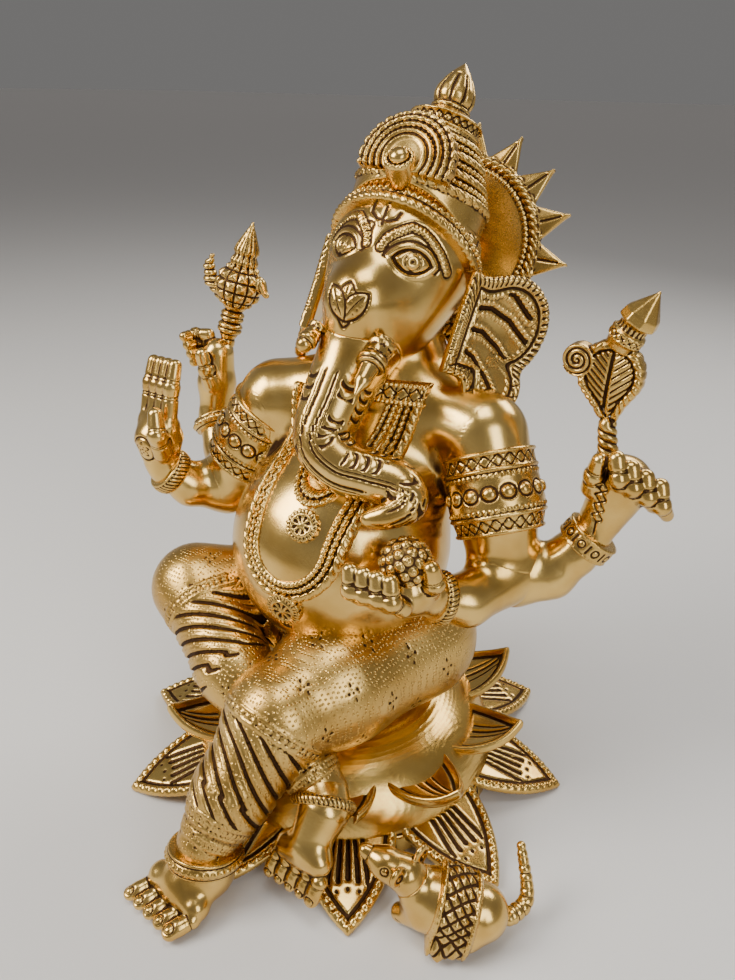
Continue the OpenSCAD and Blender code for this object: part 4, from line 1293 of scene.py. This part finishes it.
def goad_field(p):
    a, b = GOAD[1][:3], GOAD[2][:3]
    turned = frame_along(b - a, (0, -1, 0))
    w = (p - a) @ turned.T
    rr, t = np.hypot(w[:, 0], w[:, 1]), w[:, 2]
    angle = np.arctan2(w[:, 1], w[:, 0])
    radius = np.interp(t, [-2, 0, 2, 5, 7, 9, 12, 14, 16, 18],
                       [4.4, 6.5, 7.5, 7.5, 6.0, 7.2, 7.2, 5.6, 6.8, 7.5])
    neck_d = np.maximum(np.maximum((rr - radius) * 0.8, -2 - t), t - 20)
    globe = ball(w, (0, 0, 29), 14)
    cone_r = np.interp(t, [40, 42, 44, 47, 49, 52, 66], [6, 8.2, 8.2, 6.4, 7.6, 7.0, 0.6])
    cone = np.maximum(np.maximum((rr - cone_r) * 0.85, 40 - t), t - 66.5)
    d = limb(p, GOAD[:2], 2)
    s = along(p, GOAD[:2])[0]
    h = score(wave(s, 5), 1.2, 0.6)
    lat = np.arcsin(np.clip((t - 29) / 14, -1, 1)) * 14
    squares = fold(score(wave(angle * 13, 6.8), 1.5, 1.1), score(wave(lat + 3, 6.4), 1.5, 1.1))
    dots = 0.9 * np.exp(-(np.square(wave(angle * 13 + 3.4, 6.8)) + np.square(wave(lat + 6.2, 6.4))) / 1.8)
    for other, marks in ((neck_d, score(wave(t, 3.5), 1.1, 0.8)), (globe, squares + dots),
                         (cone, score(wave(angle * 7, 3.6), 1.0, 0.6)),
                         (limb(p, HORN, 2), score(wave(p[:, 2], 3.4), 1.3, 0.9)),
                         (limb(p, BEAK, 2), score(wave(p[:, 0], 3.2), 1.0, 0.5))):
        h = np.where(other < d, marks, h)
        d = blend(d, other, 1.0)
    return d, h


piece("goad_head", goad_field, ["goad"], "ornament_brass")

# ---------------------------------------------------------------- feet

def foot_field(body, toes, leg, nail):
    def field(p):
        d = melt(6, *[limb(p, line, 4) for line in body])
        h = np.zeros(len(p))
        for line in toes:
            f = limb(p, line, 1.5)
            s = along(p, line)[0]
            tip = line[-1]
            plate = ball(p, tip[:3] + np.array(nail) * tip[3] * 0.75, tip[3] * 0.62)
            h = np.where(f < d + 0.3, score(plate, 0.9, 0.7) + score(s - 1.5, 1.0, 0.5), h)
            d = blend(d, f, 1.2)
        d = blend(d, leg(p) + 1.0, 6)
        d = np.maximum(d, -7.6 - leg(p))
        return np.maximum(d, 0.6 - p[:, 2]), h
    return field


def toe_rows(node_start, step, ahead, r, count=5):
    start, step, ahead = (np.array(v, float) for v in (node_start, step, ahead))
    out = []
    for k in range(-2, count - 2):
        a = start + step * k
        big = 1.18 if k == (2 if step[0] > 0 else -2) else 1.0
        r_toe = r * big
        out.append(np.array([[*a, r_toe], [*(a + ahead * 0.6), r_toe * 0.9], [*(a + ahead), r_toe * 0.92]]))
    return out


FOOT_L = [chain("left_foot", (9, 9.9, 1.8, 14), (2, -0.1, -1.2, 10.5)),
          chain("left_foot", (-11, -2.1, -4.2, 7.6), (15, -6.1, -4.2, 7.2)),
          chain("left_foot", (8, 10.9, 10.8, 13), (6, 4.9, -1.2, 12))]
FOOT_R = [chain("right_foot", (2.5, 8.2, 10.8, 13.5), (1.5, -3.8, -2.2, 10)),
          chain("right_foot", (-8.5, -5.8, -7.2, 7.5), (10.5, -7.8, -5.2, 7))]
TOES_L = toe_rows(spot("left_foot", 1, -9.1, -6.7), (8, -1.1, 0.2), (-5, -9.5, -1.6), 3.9)
TOES_R = toe_rows(spot("right_foot", 0.5, -11.8, -12.2), (7, -0.6, 0.4), (-1.5, -4.5, -8.5), 3.6)
piece("left_foot_toes", foot_field(FOOT_L, TOES_L, leg_l, (0, -0.2, 1)), ["left_foot"], "polished_brass")
piece("right_foot_toes", foot_field(FOOT_R, TOES_R, leg_r, (0, -0.9, 0.4)), ["right_foot"],
      "polished_brass")

# ---------------------------------------------------------------- mouse

MOUSE = chain("mouse_body", (-13.2, -5.7, 5.3, 12), (-1.2, -0.7, 0.3, 15), (12.8, 5.3, -2.7, 14))
MOUSE_LEGS = [chain("mouse_body", (-11.2, -9.7, -4.7, 8), (-22.2, -9.7, -12.7, 5)),
              chain("mouse_body", (10.8, -5.7, -8.7, 8), (1.8, -14.7, -12.7, 5))]
MOUSE_HEAD = chain("mouse_head", (7.1, 1, -2, 9.5), (-2.9, -2, 2, 7.5), (-12.9, -4, 6, 3.6))
MOUSE_EARS = chain("mouse_head", (7.1, -8, 5, 4.6), (11.1, 8, 7, 4.6))
MOUSE_TAIL = chain("mouse_tail", (0.4, -11, -10, 4.4), (4.4, 1, -6, 3.6), (-5.6, 13, 12, 2.4))


def mouse_shape(p):
    return melt(5, limb(p, MOUSE, 6), *[limb(p, line, 4) for line in MOUSE_LEGS])


def mouse_body_field(p):
    d = share(mouse_shape(p), [(limb(p, MOUSE_HEAD, 3), 4)])
    claws = score(wave(p[:, 1], 3.0), 1.1, 0.7) * (p[:, 2] < 7)
    return np.maximum(d, 0.4 - p[:, 2]), claws


def mouse_head_field(p):
    d = share(limb(p, MOUSE_HEAD, 3), [(mouse_shape(p), 4)])
    h = np.zeros(len(p))
    for at in MOUSE_EARS:
        flat = egg(p, at[:3], (2.2, at[3], at[3] + 1.0), turn("z", -12))
        h = np.where(flat < d, score(length(p - at[:3]) - 2.4, 1.2, 0.8), h)
        d = blend(d, flat, 1.2)
    for side in (-1, 1):
        eye = MOUSE_HEAD[1][:3] + (3.5, side * 6.6, 2.6)
        h = h + score(length(p - eye) - 2.0, 0.9, 0.8) + 0.5 * np.exp(-np.square(length(p - eye) / 1.2))
    nose = length(p - MOUSE_HEAD[2][:3])
    h = h + score(nose - 4.6, 0.9, 0.5)
    return d, h


def saddle_field(p):
    a, b = MOUSE[1][:3], MOUSE[2][:3]
    s = (p - a) @ unit(b - a)
    skin = mouse_shape(p)
    d = np.maximum(cut(skin - 1.6, np.abs(s - 3) - 10.5, 1.0), -skin - 1.5)
    angle = np.arctan2(p[:, 2] - a[2], p[:, 1] - a[1]) * 15
    hem = np.abs(s - 3) - 8.6
    h = (hem < -1.4) * lattice(angle, s, 4.8, 0.9, 0.8)
    h = h + ridge(hem, 2.0, 1.0) + beads(angle, hem, 2.8, 2.2, 0.4)
    return np.maximum(d, 3 - p[:, 2]), h


def tail_field(p):
    line = smooth_line(MOUSE_TAIL, 5)
    s = along(p, line)[0]
    return limb(p, line, 1), score(wave(s, 3.6), 1.1, 0.5)


piece("mouse_torso", mouse_body_field, ["mouse_body"], "polished_brass")
piece("mouse_face", mouse_head_field, ["mouse_head"], "polished_brass")
piece("mouse_saddle_cloth", saddle_field, ["mouse_saddle"], "ornament_brass")
piece("mouse_tail_rope", tail_field, ["mouse_tail"], "polished_brass")

# ---------------------------------------------------------------- base plate, stud, floor, light, camera

for node in ("base_plate", "centre_stud", "stud_nut"):
    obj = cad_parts[node]
    obj.data.materials.clear()
    obj.data.materials.append(MATERIALS["base_brass"])


def plain(name, color, rough, spread):
    """Matt pale surface with a slight unevenness of tone."""
    mat = bpy.data.materials.new(name)
    mat.use_nodes = True
    nodes, links = mat.node_tree.nodes, mat.node_tree.links
    shader = nodes["Principled BSDF"]
    shader.inputs["Roughness"].default_value = rough
    noise = nodes.new("ShaderNodeTexNoise")
    noise.inputs["Scale"].default_value = 6.0
    ramp = nodes.new("ShaderNodeValToRGB")
    ramp.color_ramp.elements[0].color = (*[c - spread for c in color], 1)
    ramp.color_ramp.elements[1].color = (*color, 1)
    links.new(noise.outputs["Fac"], ramp.inputs["Fac"])
    links.new(ramp.outputs["Color"], shader.inputs["Base Color"])
    return mat


FLOOR_REACH = 40.0
floor_mesh = bpy.data.meshes.new("floor")
FLOOR_Z = -0.0003
FLOOR_CORNERS = [(x * FLOOR_REACH, y * FLOOR_REACH, FLOOR_Z)
                 for x, y in ((-1, -1), (1, -1), (1, 1), (-1, 1))]
floor_mesh.from_pydata(FLOOR_CORNERS, [], [(0, 1, 2, 3)])
floor = bpy.data.objects.new("floor", floor_mesh)
bpy.context.scene.collection.objects.link(floor)
floor_mesh.materials.append(plain("pale_floor", (0.72, 0.70, 0.67), 0.55, 0.03))


def area_light(name, where, target, power, wide, tall, color=(1, 1, 1)):
    data = bpy.data.lights.new(name, "AREA")
    data.shape = "RECTANGLE"
    data.size, data.size_y = wide, tall
    data.energy = power
    data.color = color
    obj = bpy.data.objects.new(name, data)
    bpy.context.scene.collection.objects.link(obj)
    aim = np.array(target, float) - np.array(where, float)
    z = -unit(aim)
    x = unit(np.cross((0, 0, 1), z))
    y = np.cross(z, x)
    obj.matrix_world = Matrix([[x[i], y[i], z[i], where[i]] for i in range(3)] + [[0, 0, 0, 1]])
    return obj


# Name, place, target, watts, width, height, colour
area_light("key_softbox", (-0.75, -0.75, 1.05), (0, 0, 0.2), 20, 0.6, 0.8, (1.0, 0.97, 0.92))
area_light("fill_softbox", (1.05, -0.55, 0.75), (0, 0, 0.2), 6.5, 0.5, 0.9, (0.95, 0.97, 1.0))
area_light("rim_softbox", (0.2, 1.0, 0.95), (0, 0, 0.25), 8, 0.9, 0.4, (1.0, 0.98, 0.95))
area_light("top_softbox", (0.1, -0.1, 1.3), (0, 0, 0.2), 4.5, 0.5, 0.5)

BACKDROP = (0.27, 0.265, 0.26, 1)
world = bpy.data.worlds.new("studio")
bpy.context.scene.world = world
world.use_nodes = True
w_nodes, w_links = world.node_tree.nodes, world.node_tree.links
sky = w_nodes["Background"]
sky.inputs["Strength"].default_value = 0.62
coords = w_nodes.new("ShaderNodeTexCoord")
parts = w_nodes.new("ShaderNodeSeparateXYZ")
tone = w_nodes.new("ShaderNodeValToRGB")
tone.color_ramp.elements[0].position = 0.50
tone.color_ramp.elements[0].color = (0.60, 0.58, 0.55, 1)
tone.color_ramp.elements[1].position = 0.72
tone.color_ramp.elements[1].color = (0.34, 0.33, 0.33, 1)
scale = w_nodes.new("ShaderNodeMapRange")
scale.inputs["From Min"].default_value = -1.0
w_links.new(coords.outputs["Generated"], parts.inputs[0])
w_links.new(parts.outputs["Z"], scale.inputs["Value"])
w_links.new(scale.outputs[0], tone.inputs["Fac"])
# The camera sees a backdrop of the far floor's tone; the brass mirrors the brighter studio
seen = w_nodes.new("ShaderNodeMix")
seen.data_type = "RGBA"
seen.inputs[7].default_value = BACKDROP
w_links.new(w_nodes.new("ShaderNodeLightPath").outputs["Is Camera Ray"], seen.inputs["Factor"])
w_links.new(tone.outputs["Color"], seen.inputs[6])
w_links.new(seen.outputs[2], sky.inputs["Color"])

CAMERA_AT = np.array([0.208, -0.3146, 0.370])
HEADING, PITCH, ROLL = math.radians(32), math.radians(27), math.radians(1.2)
level = np.array([-math.sin(HEADING), math.cos(HEADING), 0])
right = np.array([math.cos(HEADING), math.sin(HEADING), 0])
upright = math.sin(PITCH) * level + math.cos(PITCH) * np.array([0, 0, 1.0])
ahead = math.cos(PITCH) * level - math.sin(PITCH) * np.array([0, 0, 1.0])
image_x = math.cos(ROLL) * right + math.sin(ROLL) * upright
image_y = math.cos(ROLL) * upright - math.sin(ROLL) * right
camera_data = bpy.data.cameras.new("camera")
camera_data.sensor_width = 36.0
camera_data.lens = 29.0
camera_data.clip_start = 0.01
camera = bpy.data.objects.new("camera", camera_data)
bpy.context.scene.collection.objects.link(camera)
rows = [[image_x[i], image_y[i], -ahead[i], CAMERA_AT[i]] for i in range(3)]
camera.matrix_world = Matrix(rows + [[0, 0, 0, 1]])
bpy.context.scene.camera = camera
